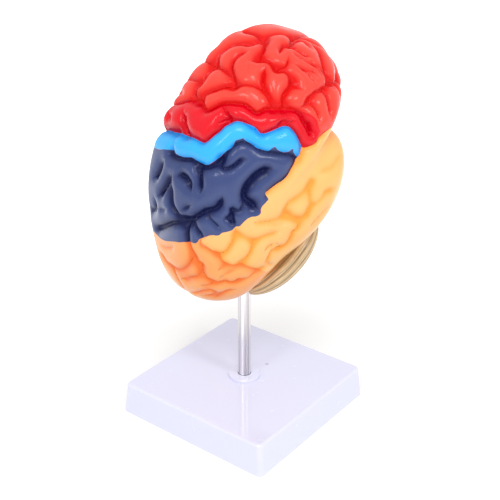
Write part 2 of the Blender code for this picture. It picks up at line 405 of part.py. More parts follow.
def through(points, closed, steps):
    # A smooth curve through the given points
    knots = np.array(points, dtype=float)
    count = len(knots)
    spans = count if closed else count - 1
    rows = []
    t = (np.arange(steps) / steps)[:, None]
    for index in range(spans):
        if closed:
            p0 = knots[(index - 1) % count]
            p1 = knots[index]
            p2 = knots[(index + 1) % count]
            p3 = knots[(index + 2) % count]
        else:
            p1 = knots[index]
            p2 = knots[index + 1]
            p0 = knots[index - 1] if index > 0 else 2 * p1 - p2
            p3 = knots[index + 2] if index + 2 < count else 2 * p2 - p1
        rows.append(0.5 * (2 * p1 + (p2 - p0) * t + (2 * p0 - 5 * p1 + 4 * p2 - p3) * t ** 2
                           + (3 * p1 - p0 - 3 * p2 + p3) * t ** 3))
    if not closed:
        rows.append(knots[-1:])
    return np.concatenate(rows)


def outline_radius():
    curve = through(OUTLINE, True, OUTLINE_STEPS)
    reach = curve - np.array(CENTRE)
    angle = np.arctan2(reach[:, 1], reach[:, 0])
    radius = np.hypot(reach[:, 0], reach[:, 1])
    order = np.argsort(angle)
    return angle[order], radius[order]


RADIUS_ANGLE, RADIUS_VALUE = outline_radius()
CUT_NORMAL = np.array((-math.sin(math.radians(CUT_ANGLE)), -math.cos(math.radians(CUT_ANGLE))))


def cut_distance(points):
    # Millimetres beyond the flat face, towards the cerebellum
    return (points[:, 0] - CUT_POINT[0]) * CUT_NORMAL[0] + (points[:, 1] - CUT_POINT[1]) * CUT_NORMAL[1]


def hemisphere(points):
    # Below zero inside the smooth form of the hemisphere
    a = points[:, 0] - CENTRE[0]
    s = points[:, 1] - CENTRE[1]
    side = points[:, 2]
    edge = np.interp(np.arctan2(s, a), RADIUS_ANGLE, RADIUS_VALUE, period=2 * math.pi)
    reach = np.hypot(a, s) / edge
    dome = reach ** DOME_POWER + (np.abs(side) / HALF_WIDTH) ** DOME_SIDE_POWER
    dome = (dome ** (1.0 / DOME_POWER) - 1.0) * DOME_SCALE
    tilt = math.radians(TEMPORAL_TILT)
    offset = points - np.array(TEMPORAL_CENTRE)
    along = (offset[:, 0] * math.cos(tilt) - offset[:, 1] * math.sin(tilt)) / TEMPORAL_RADII[0]
    across = (offset[:, 0] * math.sin(tilt) + offset[:, 1] * math.cos(tilt)) / TEMPORAL_RADII[1]
    out = offset[:, 2] / TEMPORAL_RADII[2]
    lobe = (np.sqrt(along ** 2 + across ** 2 + out ** 2) - 1.0) * TEMPORAL_RADII[1]
    blend = np.interp(points[:, 0], TEMPORAL_JOIN, TEMPORAL_BLEND)
    body = smooth_max(smooth_min(dome, lobe, blend), -side, RIM)
    return np.maximum(body, cut_distance(points) + 0.5 * GAP / MM)


def cast(form, centre, directions):
    # The first place where each ray leaves the form
    stride = CAST_REACH / CAST_STEPS
    near = np.zeros(len(directions))
    going = np.ones(len(directions), dtype=bool)
    for _ in range(CAST_STEPS):
        going[going] = form(centre + directions[going] * (near[going] + stride)[:, None]) < 0.0
        near[going] += stride
    far = near + stride
    for _ in range(CAST_HALVINGS):
        middle = 0.5 * (near + far)
        inside = form(centre + directions * middle[:, None]) < 0.0
        near = np.where(inside, middle, near)
        far = np.where(inside, far, middle)
    return centre + directions * (0.5 * (near + far))[:, None]


def map_point(pairs):
    # From degrees forward and up, seen from the middle, to the smooth form
    pairs = np.atleast_2d(np.array(pairs, dtype=float))
    lean = np.radians(np.hypot(pairs[:, 0], pairs[:, 1]))
    turn = np.arctan2(pairs[:, 1], pairs[:, 0])
    rays = np.stack([np.sin(lean) * np.cos(turn), np.sin(lean) * np.sin(turn), np.cos(lean)], axis=1)
    return cast(hemisphere, np.array(MAP_CENTRE), rays)


def to_map(points):
    rays = points - np.array(MAP_CENTRE)
    lean = np.degrees(np.arctan2(np.hypot(rays[:, 0], rays[:, 1]), rays[:, 2]))
    turn = np.arctan2(rays[:, 1], rays[:, 0])
    return np.stack([lean * np.cos(turn), lean * np.sin(turn)], axis=1)


def furrow_lines():
    lines = []
    for depth, width, points in FURROWS.values():
        lines.append((depth, width, map_point(through(points, False, FURROW_STEPS))))
    for depth, width, points in INNER_FURROWS.values():
        flat = through(points, False, FURROW_STEPS)
        lines.append((depth, width, np.column_stack([flat, np.zeros(len(flat))])))
    return lines


def nearest_on_line(points, line):
    # Distance to a polyline, the nearest point and the length along it
    best = np.full(len(points), 1e9)
    spot = np.zeros_like(points)
    along = np.zeros(len(points))
    run = 0.0
    for start, end in zip(line[:-1], line[1:]):
        step = end - start
        length = np.linalg.norm(step)
        if length < 1e-6:
            continue
        share = np.clip((points - start) @ step / length ** 2, 0.0, 1.0)
        foot = start + share[:, None] * step
        gap = np.linalg.norm(points - foot, axis=1)
        closer = gap < best
        best = np.where(closer, gap, best)
        spot[closer] = foot[closer]
        along = np.where(closer, run + share * length, along)
        run += length
    return best, spot, along, run


def carve(points, snap):
    # Moves points near a furrow onto it, then gives how deep each point lies
    lines = furrow_lines()
    moved = points.copy()
    pull = np.full(len(points), snap)
    for depth, width, line in lines:
        low = line.min(axis=0) - width
        high = line.max(axis=0) + width
        near = np.nonzero(np.all((points > low) & (points < high), axis=1))[0]
        gap, spot, along, run = nearest_on_line(points[near], line)
        closer = gap < pull[near]
        pull[near[closer]] = gap[closer]
        moved[near[closer]] = spot[closer]
    deepest = max(entry[0] for entry in lines)
    left = np.ones(len(points))
    for number, (depth, width, line) in enumerate(lines):
        low = line.min(axis=0) - width
        high = line.max(axis=0) + width
        near = np.nonzero(np.all((moved > low) & (moved < high), axis=1))[0]
        gap, spot, along, run = nearest_on_line(moved[near], line)
        others = lines[:number] + lines[number + 1:]
        start = 1.0 if meets(line[0], others) else END_SHARE
        end = 1.0 if meets(line[-1], others) else END_SHARE
        fade = np.minimum(start + along / END_RUN, end + (run - along) / END_RUN)
        fade = np.clip(fade, 0.0, 1.0)
        rest = np.clip(1.0 - gap / width, 0.0, 1.0)
        drop = 1.0 - np.maximum(1.0 - rest ** FOLD_POWER, 0.0) ** (1.0 / FOLD_POWER)
        left[near] *= 1.0 - np.clip(depth / deepest * fade * drop, 0.0, MOST_DEEP)
    return moved, deepest * (1.0 - left)


def meets(spot, lines):
    # Whether the end of a furrow lies on another one
    return any(np.min(np.linalg.norm(line - spot, axis=1)) < JOIN_REACH for _, _, line in lines)


def slope(points):
    step = 0.4
    parts = []
    for axis in range(3):
        shift = np.zeros(3)
        shift[axis] = step
        parts.append(hemisphere(points + shift) - hemisphere(points - shift))
    normal = np.stack(parts, axis=1)
    return normal / np.maximum(np.linalg.norm(normal, axis=1), 1e-9)[:, None]


def inside_outline(points, outline):
    x = points[:, 0]
    y = points[:, 1]
    inside = np.zeros(len(points), dtype=bool)
    count = len(outline)
    for index in range(count):
        x1, y1 = outline[index]
        x2, y2 = outline[(index + 1) % count]
        crosses = (y1 > y) != (y2 > y)
        rise = y2 - y1 if y2 != y1 else 1e-12
        inside ^= crosses & (x < (x2 - x1) * (y - y1) / rise + x1)
    return inside


OUTER_FIELDS = {
    "paint_precentral": LINE_FRONT + [(33, -16.5), (30, -14.5), (28.5, -12)] + LINE_CENTRAL[::-1],
    "paint_postcentral": LINE_CENTRAL + LINE_REAR[::-1],
    "paint_parietal": LINE_REAR + LINE_LOWER[1:] + LINE_BACK[1:] + [(-70, 100), (13, 130)],
    "paint_temporal": LINE_LOWER[::-1] + LINE_SYLVIAN + [(30, -130), (-80, -130)] + LINE_TEMPORAL[::-1],
    "paint_occipital": LINE_BACK + [(-160, 130), (-160, -130)] + LINE_TEMPORAL[::-1],
}


def paint_field(points):
    # Name of the painted field at each point: the last outline that holds it wins
    field = np.full(len(points), "paint_frontal", dtype=object)
    outer = points[:, 2] > INNER_BAND
    seen = to_map(points)
    for name, outline in OUTER_FIELDS.items():
        field[outer & inside_outline(seen, outline)] = name
    flat = points[:, :2]
    for name, outline in INNER_FIELDS.items():
        field[~outer & inside_outline(flat, outline)] = name
    return field


# Materials
def material(name, colour, roughness, metallic=0.0):
    made = bpy.data.materials.new(name)
    made.use_nodes = True
    shader = made.node_tree.nodes["Principled BSDF"]
    shader.inputs["Base Color"].default_value = (*colour, 1.0)
    shader.inputs["Roughness"].default_value = roughness
    shader.inputs["Metallic"].default_value = metallic
    made.diffuse_color = (*colour, 1.0)
    return made


PAINTS = {
    "paint_frontal": material("paint_frontal", (0.94, 0.085, 0.07), 0.32),
    "paint_precentral": material("paint_precentral", (0.83, 0.01, 0.03), 0.32),
    "paint_postcentral": material("paint_postcentral", (0.045, 0.45, 0.92), 0.32),
    "paint_parietal": material("paint_parietal", (0.06, 0.08, 0.22), 0.32),
    "paint_temporal": material("paint_temporal", (0.97, 0.58, 0.19), 0.36),
    "paint_occipital": material("paint_occipital", (1.0, 0.37, 0.13), 0.36),
    "paint_core": material("paint_core", (0.86, 0.76, 0.58), 0.4),
}
CEREBELLUM_PAINT = material("paint_cerebellum", (0.38, 0.26, 0.14), 0.42)
BASE_PLASTIC = material("base_plastic", (0.83, 0.83, 0.97), 0.3)
ROD_STEEL = material("rod_steel", (0.62, 0.6, 0.57), 0.28, 1.0)
SCREW_STEEL = material("screw_steel", (0.55, 0.55, 0.54), 0.35, 1.0)


# Mesh building
def new_object(name, mesh, paints):
    for paint in paints:
        mesh.materials.append(paint)
    made = bpy.data.objects.new(name, mesh)
    bpy.context.collection.objects.link(made)
    return made


def mesh_from(name, points, faces):
    mesh = bpy.data.meshes.new(name)
    mesh.from_pydata([tuple(map(float, point)) for point in points], [], faces)
    mesh.update()
    return mesh


def join_rings(rings, name, paint):
    # A closed solid from rings of equal length, capped at both ends
    count = len(rings[0])
    points = [point for ring in rings for point in ring]
    faces = []
    for row in range(len(rings) - 1):
        for index in range(count):
            after = (index + 1) % count
            low = row * count
            high = (row + 1) * count
            faces.append((low + index, low + after, high + after, high + index))
    faces.append(tuple(reversed(range(count))))
    top = (len(rings) - 1) * count
    faces.append(tuple(range(top, top + count)))
    return new_object(name, mesh_from(name, points, faces), [paint])


def circle(radius, height, count):
    turns = [2 * math.pi * index / count for index in range(count)]
    return [(radius * math.cos(turn), radius * math.sin(turn), height) for turn in turns]


def turned(name, profile, paint, count):
    return join_rings([circle(radius, height, count) for radius, height in profile], name, paint)


def rounded_square(half, corner, height, steps=5):
    ring = []
    for quarter in range(4):
        middle = math.radians(90 * quarter + 45)
        cx = (half - corner) * math.copysign(1, math.cos(middle))
        cy = (half - corner) * math.copysign(1, math.sin(middle))
        for step in range(steps):
            turn = math.radians(90 * quarter + 90 * step / (steps - 1))
            ring.append((cx + corner * math.cos(turn), cy + corner * math.sin(turn), height))
    return ring


def box(name, size, centre, paint):
    half = [0.5 * value for value in size]
    low = [(centre[0] + x * half[0], centre[1] + y * half[1], centre[2] - half[2])
           for x, y in ((-1, -1), (1, -1), (1, 1), (-1, 1))]
    high = [(x, y, centre[2] + half[2]) for x, y, _ in low]
    return join_rings([low, high], name, paint)


def combine(target, tool, operation):
    step = target.modifiers.new("cut", "BOOLEAN")
    step.operation = operation
    step.solver = "EXACT"
    step.object = tool
    result = bpy.data.meshes.new_from_object(target.evaluated_get(bpy.context.evaluated_depsgraph_get()))
    target.modifiers.remove(step)
    old_mesh = target.data
    target.data = result
    bpy.data.meshes.remove(old_mesh)
    tool_mesh = tool.data
    bpy.data.objects.remove(tool, do_unlink=True)
    bpy.data.meshes.remove(tool_mesh)


def finish_mesh(made, angle):
    made.data.shade_smooth()
    made.data.set_sharp_from_angle(angle=math.radians(angle))


def build_base():
    half = 0.5 * BASE_SIDE
    lean = BASE_DRAFT / BASE_HEIGHT
    rings = [rounded_square(half, BASE_CORNER, 0.0)]
    for step in range(EDGE_STEPS + 1):
        turn = math.radians(90 * step / EDGE_STEPS)
        rise = BASE_HEIGHT - BASE_EDGE * (1 - math.sin(turn))
        inward = BASE_EDGE * (1 - math.cos(turn))
        rings.append(rounded_square(half - lean * rise - inward, BASE_CORNER - 0.5 * inward, rise))
    base = join_rings(rings, "base", BASE_PLASTIC)
    ceiling = BASE_HEIGHT - BASE_TOP
    hollow = [
        rounded_square(half - BASE_WALL + lean * MM, BASE_CORNER - CORNER_STEP, -MM),
        rounded_square(half - BASE_WALL - lean * ceiling, BASE_CORNER - CORNER_STEP, ceiling),
    ]
    combine(base, join_rings(hollow, "hollow", BASE_PLASTIC), "DIFFERENCE")
    reach = 2 * (half - BASE_WALL - lean * ceiling + RIB_SINK)
    rib_middle = ceiling + FUSE - 0.5 * RIB_HEIGHT
    combine(base, box("rib_x", (reach, RIB_THICK, RIB_HEIGHT), (0, 0, rib_middle), BASE_PLASTIC), "UNION")
    combine(base, box("rib_y", (RIB_THICK, reach, RIB_HEIGHT), (0, 0, rib_middle), BASE_PLASTIC), "UNION")
    boss = [(BOSS_RADIUS, BOSS_FOOT), (BOSS_RADIUS, ceiling + FUSE)]
    combine(base, turned("boss", boss, BASE_PLASTIC, ROUND_LARGE), "UNION")
    seat_top = BASE_HEIGHT + SEAT_HEIGHT
    seat = [(SEAT_RADIUS, BASE_HEIGHT - FUSE), (SEAT_RADIUS, seat_top - SEAT_EDGE)]
    for step in range(1, EDGE_STEPS + 1):
        turn = math.radians(90 * step / EDGE_STEPS)
        inward = SEAT_EDGE * (1 - math.cos(turn))
        seat.append((SEAT_RADIUS - inward, seat_top - SEAT_EDGE * (1 - math.sin(turn))))
    combine(base, turned("seat", seat, BASE_PLASTIC, ROUND_LARGE), "UNION")
    bore = [(ROD_RADIUS + BORE_GAP, ROD_FOOT - GAP), (ROD_RADIUS + BORE_GAP, seat_top + MM)]
    combine(base, turned("bore", bore, BASE_PLASTIC, ROUND_LARGE), "DIFFERENCE")
    ledge_under = ROD_FOOT - GAP - LEDGE
    hole = [(SCREW_RADIUS + GAP, ledge_under - MM), (SCREW_RADIUS + GAP, ROD_FOOT)]
    combine(base, turned("hole", hole, BASE_PLASTIC, ROUND_SMALL), "DIFFERENCE")
    pocket = [(POCKET_RADIUS, -MM), (POCKET_RADIUS, ledge_under)]
    combine(base, turned("pocket", pocket, BASE_PLASTIC, ROUND_MIDDLE), "DIFFERENCE")
    finish_mesh(base, SHARP_TURNED)
    base.location = (MODEL_SHIFT * MM, 0, 0)
    return base


def build_rod():
    body = [
        (ROD_RADIUS - ROD_CHAMFER, ROD_FOOT), (ROD_RADIUS, ROD_FOOT + ROD_CHAMFER),
        (ROD_RADIUS, ROD_TOP - ROD_CHAMFER), (ROD_RADIUS - ROD_CHAMFER, ROD_TOP),
    ]
    rod = turned("rod", body, ROD_STEEL, ROUND_LARGE)
    tap = [(SCREW_RADIUS + GAP, ROD_FOOT - MM), (SCREW_RADIUS + GAP, ROD_FOOT + TAP_DEPTH)]
    combine(rod, turned("tap", tap, ROD_STEEL, ROUND_SMALL), "DIFFERENCE")
    finish_mesh(rod, SHARP_TURNED)
    rod.location = (MODEL_SHIFT * MM, 0, 0)
    return rod


def build_screw():
    ledge_under = ROD_FOOT - GAP - LEDGE
    washer_top = ledge_under - GAP
    washer_low = washer_top - WASHER_THICK
    ring = [(WASHER_RADIUS, washer_low), (WASHER_RADIUS, washer_top)]
    washer = turned("base_washer", ring, SCREW_STEEL, ROUND_MIDDLE)
    hole = [(SCREW_RADIUS + GAP, washer_low - MM), (SCREW_RADIUS + GAP, washer_top + MM)]
    combine(washer, turned("hole", hole, SCREW_STEEL, ROUND_SMALL), "DIFFERENCE")
    finish_mesh(washer, SHARP_TURNED)
    head_top = washer_low - GAP
    head_low = head_top - SCREW_HEAD_HEIGHT
    top = ROD_FOOT + SCREW_REACH
    tip = 0.25 * SCREW_RADIUS
    body = [(wide * SCREW_HEAD_RADIUS, head_low + high * SCREW_HEAD_HEIGHT) for wide, high in HEAD_PROFILE]
    body += [(SCREW_RADIUS, head_top), (SCREW_RADIUS, top - tip), (SCREW_RADIUS - tip, top)]
    screw = turned("base_screw", body, SCREW_STEEL, ROUND_SMALL)
    length = SLOT_SHARE * SCREW_HEAD_RADIUS
    for size in ((length, SCREW_SLOT, 2 * SCREW_SLOT_DEPTH), (SCREW_SLOT, length, 2 * SCREW_SLOT_DEPTH)):
        combine(screw, box("slot", size, (0, 0, head_low), SCREW_STEEL), "DIFFERENCE")
    finish_mesh(screw, SHARP_TURNED)
    for made in (washer, screw):
        made.location = (MODEL_SHIFT * MM, 0, 0)
    return washer, screw


def brain_matrix():
    # Brain millimetres to metres round the rod's axis at ROD_POINT_HEIGHT
    yaw = math.radians(BRAIN_YAW)
    pitch = math.radians(BRAIN_PITCH)
    flat = np.array((math.cos(yaw), -math.sin(yaw), 0.0))
    side = np.array((-math.sin(yaw), -math.cos(yaw), 0.0))
    up = np.array((0.0, 0.0, 1.0))
    front = up * math.cos(pitch) + flat * math.sin(pitch)
    crown = up * math.sin(pitch) - flat * math.cos(pitch)
    return np.stack([front, crown, side])


BRAIN_AXES = brain_matrix()


def place_brain(points):
    return (points - np.array(ROD_POINT)) @ BRAIN_AXES * MM


def rod_bore(target, low, high):
    # Cuts the rod's bore; heights are taken from the ground
    drop = ROD_POINT_HEIGHT * MM
    bore = [(ROD_RADIUS + BORE_GAP, low - drop), (ROD_RADIUS + BORE_GAP, high - drop)]
    combine(target, turned("bore", bore, target.data.materials[0], ROUND_MIDDLE), "DIFFERENCE")


def build_cerebrum():
    ball = bmesh.new()
    bmesh.ops.create_icosphere(ball, subdivisions=int(BALL_LEVEL), radius=1.0)
    ball.verts.ensure_lookup_table()
    rays = np.array([vert.co[:] for vert in ball.verts]) * np.array(STAR_STRETCH)
    rays /= np.linalg.norm(rays, axis=1)[:, None]
    faces = [tuple(vert.index for vert in face.verts) for face in ball.faces]
    ball.free()
    skin = cast(hemisphere, np.array(STAR_CENTRE), rays)
    skin, drop = carve(skin, SNAP_RANGE)
    # Furrows fade out at the flat face, which stays flat
    drop *= np.clip((-cut_distance(skin) - CUT_MARGIN) / CUT_FADE, 0.0, 1.0)
    normal = slope(skin)
    drop *= np.interp(np.sum(normal * rays, axis=1), GRAZE, (0.0, 1.0))
    skin = skin - normal * drop[:, None]
    rough = mesh_from("cerebrum", place_brain(skin), faces)
    cerebrum = new_object("cerebrum", rough, [])
    thin = cerebrum.modifiers.new("thin", "DECIMATE")
    thin.ratio = CEREBRUM_FACES / len(faces)
    mesh = bpy.data.meshes.new_from_object(cerebrum.evaluated_get(bpy.context.evaluated_depsgraph_get()))
    cerebrum.modifiers.remove(thin)
    cerebrum.data = mesh
    bpy.data.meshes.remove(rough)
    mesh.name = "cerebrum"
    middles = np.array([face.center[:] for face in mesh.polygons])
    middles = middles / MM @ BRAIN_AXES.T + np.array(ROD_POINT)
    fields = paint_field(middles)
    names = list(PAINTS)
    for name in names:
        mesh.materials.append(PAINTS[name])
    mesh.polygons.foreach_set("material_index", [names.index(field) for field in fields])
    rod_bore(cerebrum, 0.0, ROD_TOP + GAP)
    cerebrum.location = (MODEL_SHIFT * MM, 0, ROD_POINT_HEIGHT * MM)
    finish_mesh(cerebrum, SHARP_FOLDS)
    return cerebrum


def build_cerebellum():
    # Leaves run from tip to tip, as meridians round the long axis
    axis_u = np.array((-CUT_NORMAL[1], CUT_NORMAL[0], 0.0))
    if axis_u[0] > 0:
        axis_u = -axis_u
    axis_v = np.array((CUT_NORMAL[0], CUT_NORMAL[1], 0.0))
    centre = np.array(LEAF_CENTRE)
    room = -cut_distance(centre[None, :])[0] + 0.5 * GAP / MM
    count = LEAF_COUNT * LEAF_STEPS
    points = [centre - axis_u * LEAF_RADII[0]]
    for row in range(1, LEAF_ROWS):
        turn = math.pi * row / LEAF_ROWS
        place = -math.cos(turn)
        shrink = math.sin(turn)
        for index in range(count):
            angle = 2 * math.pi * index / count
            down = math.cos(angle)
            side = math.sin(angle)
            radius = shrink / math.hypot(down / LEAF_RADII[1], side / LEAF_RADII[2])
            furrow = 0.5 + 0.5 * math.cos(math.pi + 2 * math.pi * (index % LEAF_STEPS) / LEAF_STEPS)
            radius -= LEAF_DEPTH * (1.0 - furrow) * min(1.0, LEAF_END * shrink)
            if down * radius < room:
                radius = min(radius, room / down) if down < 0 else radius
            if side < 0:
                radius = min(radius, -centre[2] / side)
            points.append(centre + axis_u * LEAF_RADII[0] * place + axis_v * down * radius
                          + np.array((0.0, 0.0, side * radius)))
    points.append(centre + axis_u * LEAF_RADII[0])
    last = len(points) - 1
    faces = []
    for index in range(count):
        after = (index + 1) % count
        faces.append((0, 1 + after, 1 + index))
        for row in range(LEAF_ROWS - 2):
            low = 1 + row * count
            high = low + count
            faces.append((low + index, low + after, high + after, high + index))
        low = 1 + (LEAF_ROWS - 2) * count
        faces.append((low + index, low + after, last))
    mesh = mesh_from("cerebellum", place_brain(np.array(points)), faces)
    cerebellum = new_object("cerebellum", mesh, [CEREBELLUM_PAINT])
    shape = bmesh.new()
    shape.from_mesh(mesh)
    bmesh.ops.recalc_face_normals(shape, faces=shape.faces)
    bmesh.ops.triangulate(shape, faces=shape.faces)
    shape.to_mesh(mesh)
    shape.free()
    rod_bore(cerebellum, 0.0, ROD_TOP + GAP)
    cerebellum.location = (MODEL_SHIFT * MM, 0, ROD_POINT_HEIGHT * MM)
    finish_mesh(cerebellum, SHARP_LEAVES)
    return cerebellum


build_base()
build_rod()
build_screw()
build_cerebrum()
build_cerebellum()
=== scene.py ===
import math

import bmesh
import bpy
import numpy as np
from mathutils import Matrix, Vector


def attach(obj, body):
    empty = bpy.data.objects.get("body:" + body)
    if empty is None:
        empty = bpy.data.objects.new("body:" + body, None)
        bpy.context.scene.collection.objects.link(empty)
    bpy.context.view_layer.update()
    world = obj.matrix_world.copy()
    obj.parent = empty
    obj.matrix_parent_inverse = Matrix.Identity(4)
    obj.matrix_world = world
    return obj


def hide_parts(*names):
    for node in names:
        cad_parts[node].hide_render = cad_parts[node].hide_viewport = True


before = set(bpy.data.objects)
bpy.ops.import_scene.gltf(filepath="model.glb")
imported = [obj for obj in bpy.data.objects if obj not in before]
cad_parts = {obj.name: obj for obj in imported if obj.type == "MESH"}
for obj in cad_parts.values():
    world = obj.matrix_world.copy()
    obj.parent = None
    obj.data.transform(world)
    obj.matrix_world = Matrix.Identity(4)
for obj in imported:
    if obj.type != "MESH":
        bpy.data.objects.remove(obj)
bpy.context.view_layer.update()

MM = 0.001
GAP = 0.3 * MM  # air between the two castings
WHITE = (1.0, 1.0, 1.0, 1.0)
BLACK = (0.0, 0.0, 0.0, 1.0)
COLOUR_A, COLOUR_B, COLOUR_RESULT = 6, 7, 2  # the colour sockets of a Mix node

# Camera of the photograph, in degrees, millimetres and picture points
CAMERA_AZIMUTH = 52.06
CAMERA_ELEVATION = 25.82
CAMERA_DISTANCE = 580.1
CAMERA_TARGET = (-1.29, 0.0, 106.5)
FOCAL_PIXELS = 961.75
PICTURE_WIDTH = 500.0
SENSOR_WIDTH = 36.0

# Room, in metres
WORLD_LIGHT = 0.7  # strength of the world's light on the model
LAMPS = {  # watts, size, place and aim
    "over": (3.2, (0.4, 0.4), (-0.5, -0.38, 1.0), (0.0, 0.0, 0.12)),
    "left": (1.3, (0.22, 0.28), (-0.85, 0.0, 0.7), (0.0, 0.0, 0.14)),
    "right": (1.9, (0.22, 0.28), (-0.05, -0.88, 0.7), (0.0, 0.0, 0.14)),
}
FLOOR_REACH = 3.0
FLOOR_THICKNESS = 0.02
GLOW_SPAN = (0.06, 0.34)  # the floor turns white between these distances from the middle
GLOW_NEAR = 0.15  # its glow nearer than that

# Fine meshes, in millimetres
BALL_LEVEL = 7  # rounds of splitting of the ball that the cerebrum starts from
FINE_BAND = 2.2  # edges this near to a furrow are split
FINE_EDGE = 0.5  # but no edge shorter than this
FINE_SNAP = 0.45  # points this near to a furrow are moved onto it
FINE_ROWS = 56  # rows of the cerebellum from tip to tip
FINE_STEPS = 16  # columns to one leaf
SLOPE_STEP = 0.4  # half the step that the slope of the form is measured over
# Corners of the triangles that a split one turns into, by its number of marked edges:
# 0 to 2 are its corners, and 3 to 5 the middles of the edges after them
SPLITS = {
    1: [[0, 3, 2], [3, 1, 2]],
    2: [[3, 1, 4], [0, 3, 4], [0, 4, 2]],
    3: [[0, 3, 5], [3, 1, 4], [5, 4, 2], [3, 4, 5]],
}

# Shape of the furrows, in millimetres
DEPTH_SHARE = 1.1  # share of the depths in the tables that is cut in the frontal field
FIELD_DEPTH_SHARES = {  # and in the other fields
    "precentral": 1.5, "postcentral": 1.3, "parietal": 1.2, "temporal": 0.75, "occipital": 0.8}
FIELD_BLEND = (-3.0, 3.0)  # from outside to inside a border, where one share turns into the next
FLOOR_LIFT = (0.1, 0.03)  # share that the deepest floors lose, outside and inside the parietal field
DEEPEST = 5.4  # depth of the deepest furrow in the tables
FLOOR_ROUND = 0.35  # radius at the bottom of a furrow
EASE_ROUNDS = 1  # rounds of smoothing of all depths
CREST_ROUNDS = 4  # further rounds for the crests of the folds
CREST_DEPTH = 1.6  # these fade out down to this depth
CRISP_SPAN = (22.0, 40.0)  # degrees forward between which the folds turn from soft to crisp
CRISP_POWER = (1.8, 2.05)

# Paint: lengths in millimetres on the castings, in metres on the base
EDGE_REACH = 6.0  # distances to the borders of the fields are kept up to this
BORDER_STEPS = 3  # steps between two points of a border
BORDER_WAVER = 0.5  # how far the borders waver
BORDER_SOFT = 0.12  # half the width over which two fields mix
FURROW_SHADE = 0.95  # how much of the painted shade in the furrows comes in
FURROW_SHADE_SPAN = (0.25, 2.3)  # and between which depths
COAT_WEIGHT = 0.5
COAT_LOSS = 0.42  # how much of the coat the furrows lose
ROD_GRAIN_STRETCH = 0.01  # the streaks run along the rod
BASE_DIMPLE_SHADE = (0.01175, -0.00384, 0.0204)  # a small dimple in the base's top, shown as a painted shade
BASE_DIMPLE_SHADE_EDGE = (0.0018, 0.0006)  # it comes in between these distances

# Placing of the brain, in millimetres and degrees.
# Brain axes: a runs to the forehead, s to the crown, and the third out to the side.
MODEL_SHIFT = -7.05  # puts the whole model's middle over the origin, along X
ROD_POINT = (-4.0, 6.0, 30.0)
ROD_POINT_HEIGHT = 149.5
BRAIN_YAW = 27.06
BRAIN_PITCH = 17.0

# Smooth form of the hemisphere, in millimetres
CENTRE = (0.0, 6.0)
HALF_WIDTH = 66.0
DOME_POWER = 2.6
DOME_SIDE_POWER = 2.5
DOME_SCALE = 45.0
RIM = 7.0  # softness of the edge round the flat inner face
TEMPORAL_CENTRE = (5.0, -25.5, 38.0)
TEMPORAL_RADII = (36.0, 19.0, 28.0)
TEMPORAL_TILT = 13.0
TEMPORAL_BLEND = (11.0, 3.0)  # softness of its join, at the rear and at the front
TEMPORAL_JOIN = (26.0, 38.0)  # between these lengths forward the join sharpens
OUTLINE = [(87.5, -6), (86.5, 8), (79, 24), (68, 35), (54, 43.5), (40, 50), (24, 54.5), (6, 56), (-12, 55),
    (-30, 50.5), (-48, 43), (-65, 33.5), (-77.5, 21.5), (-82, 8), (-80, -5), (-72.5, -14), (-61, -22),
    (-46, -29), (-31, -36), (-12, -40), (8, -39), (26, -34), (38, -31.5), (50, -33.5), (62, -38), (75, -37.5),
    (85, -24.5)]
CUT_POINT = (-49.2, -21.3)  # the flat face that the cerebellum lies against
CUT_ANGLE = 30.7  # how far its normal leans from straight down to the back

# Cerebellum, in millimetres
LEAF_CENTRE = (-43.5, -32.0, 24.0)
LEAF_RADII = (32.5, 13.5, 25.0)
LEAF_COUNT = 34
LEAF_DEPTH = 0.8
FINE_LEAF_DEPTH = 0.3  # of the finer leaves between them
LEAF_POWER = 0.6  # low for round leaves with narrow furrows
LEAF_SWAY = 0.35  # how far the leaves sway sideways, in steps of their mesh
LEAF_TIP_FADE = 1.6  # how soon the leaves reach full depth from their tips

# Rays that find the form, the degree map, and how the furrows end and fade
STAR_CENTRE = (20.0, 10.0, 28.0)
STAR_STRETCH = (85.0, 55.0, 40.0)
MAP_CENTRE = (0.0, 6.0, 6.0)
OUTLINE_STEPS = 24
FURROW_STEPS = 12
CAST_REACH = 126.0  # rays are followed this far in equal steps, then the crossing is halved in on
CAST_STEPS = 28
CAST_HALVINGS = 14
END_SHARE = 0.2  # share of its depth that a furrow has at a free end
END_RUN = 6.0  # length over which it goes from nothing to its whole depth
JOIN_REACH = 1.6  # ends nearer than this to another furrow count as joined
MOST_DEEP = 0.999  # furrows that cross stay within the deepest one
CUT_MARGIN = 1.0  # no furrow this near to the flat face of the cut
CUT_FADE = 5.0  # and over this much more they reach their depth
GRAZE = (0.12, 0.5)  # furrows fade where the rays from the middle graze the form
INNER_BAND = 2.5  # below this height over the inner face its own fields are painted

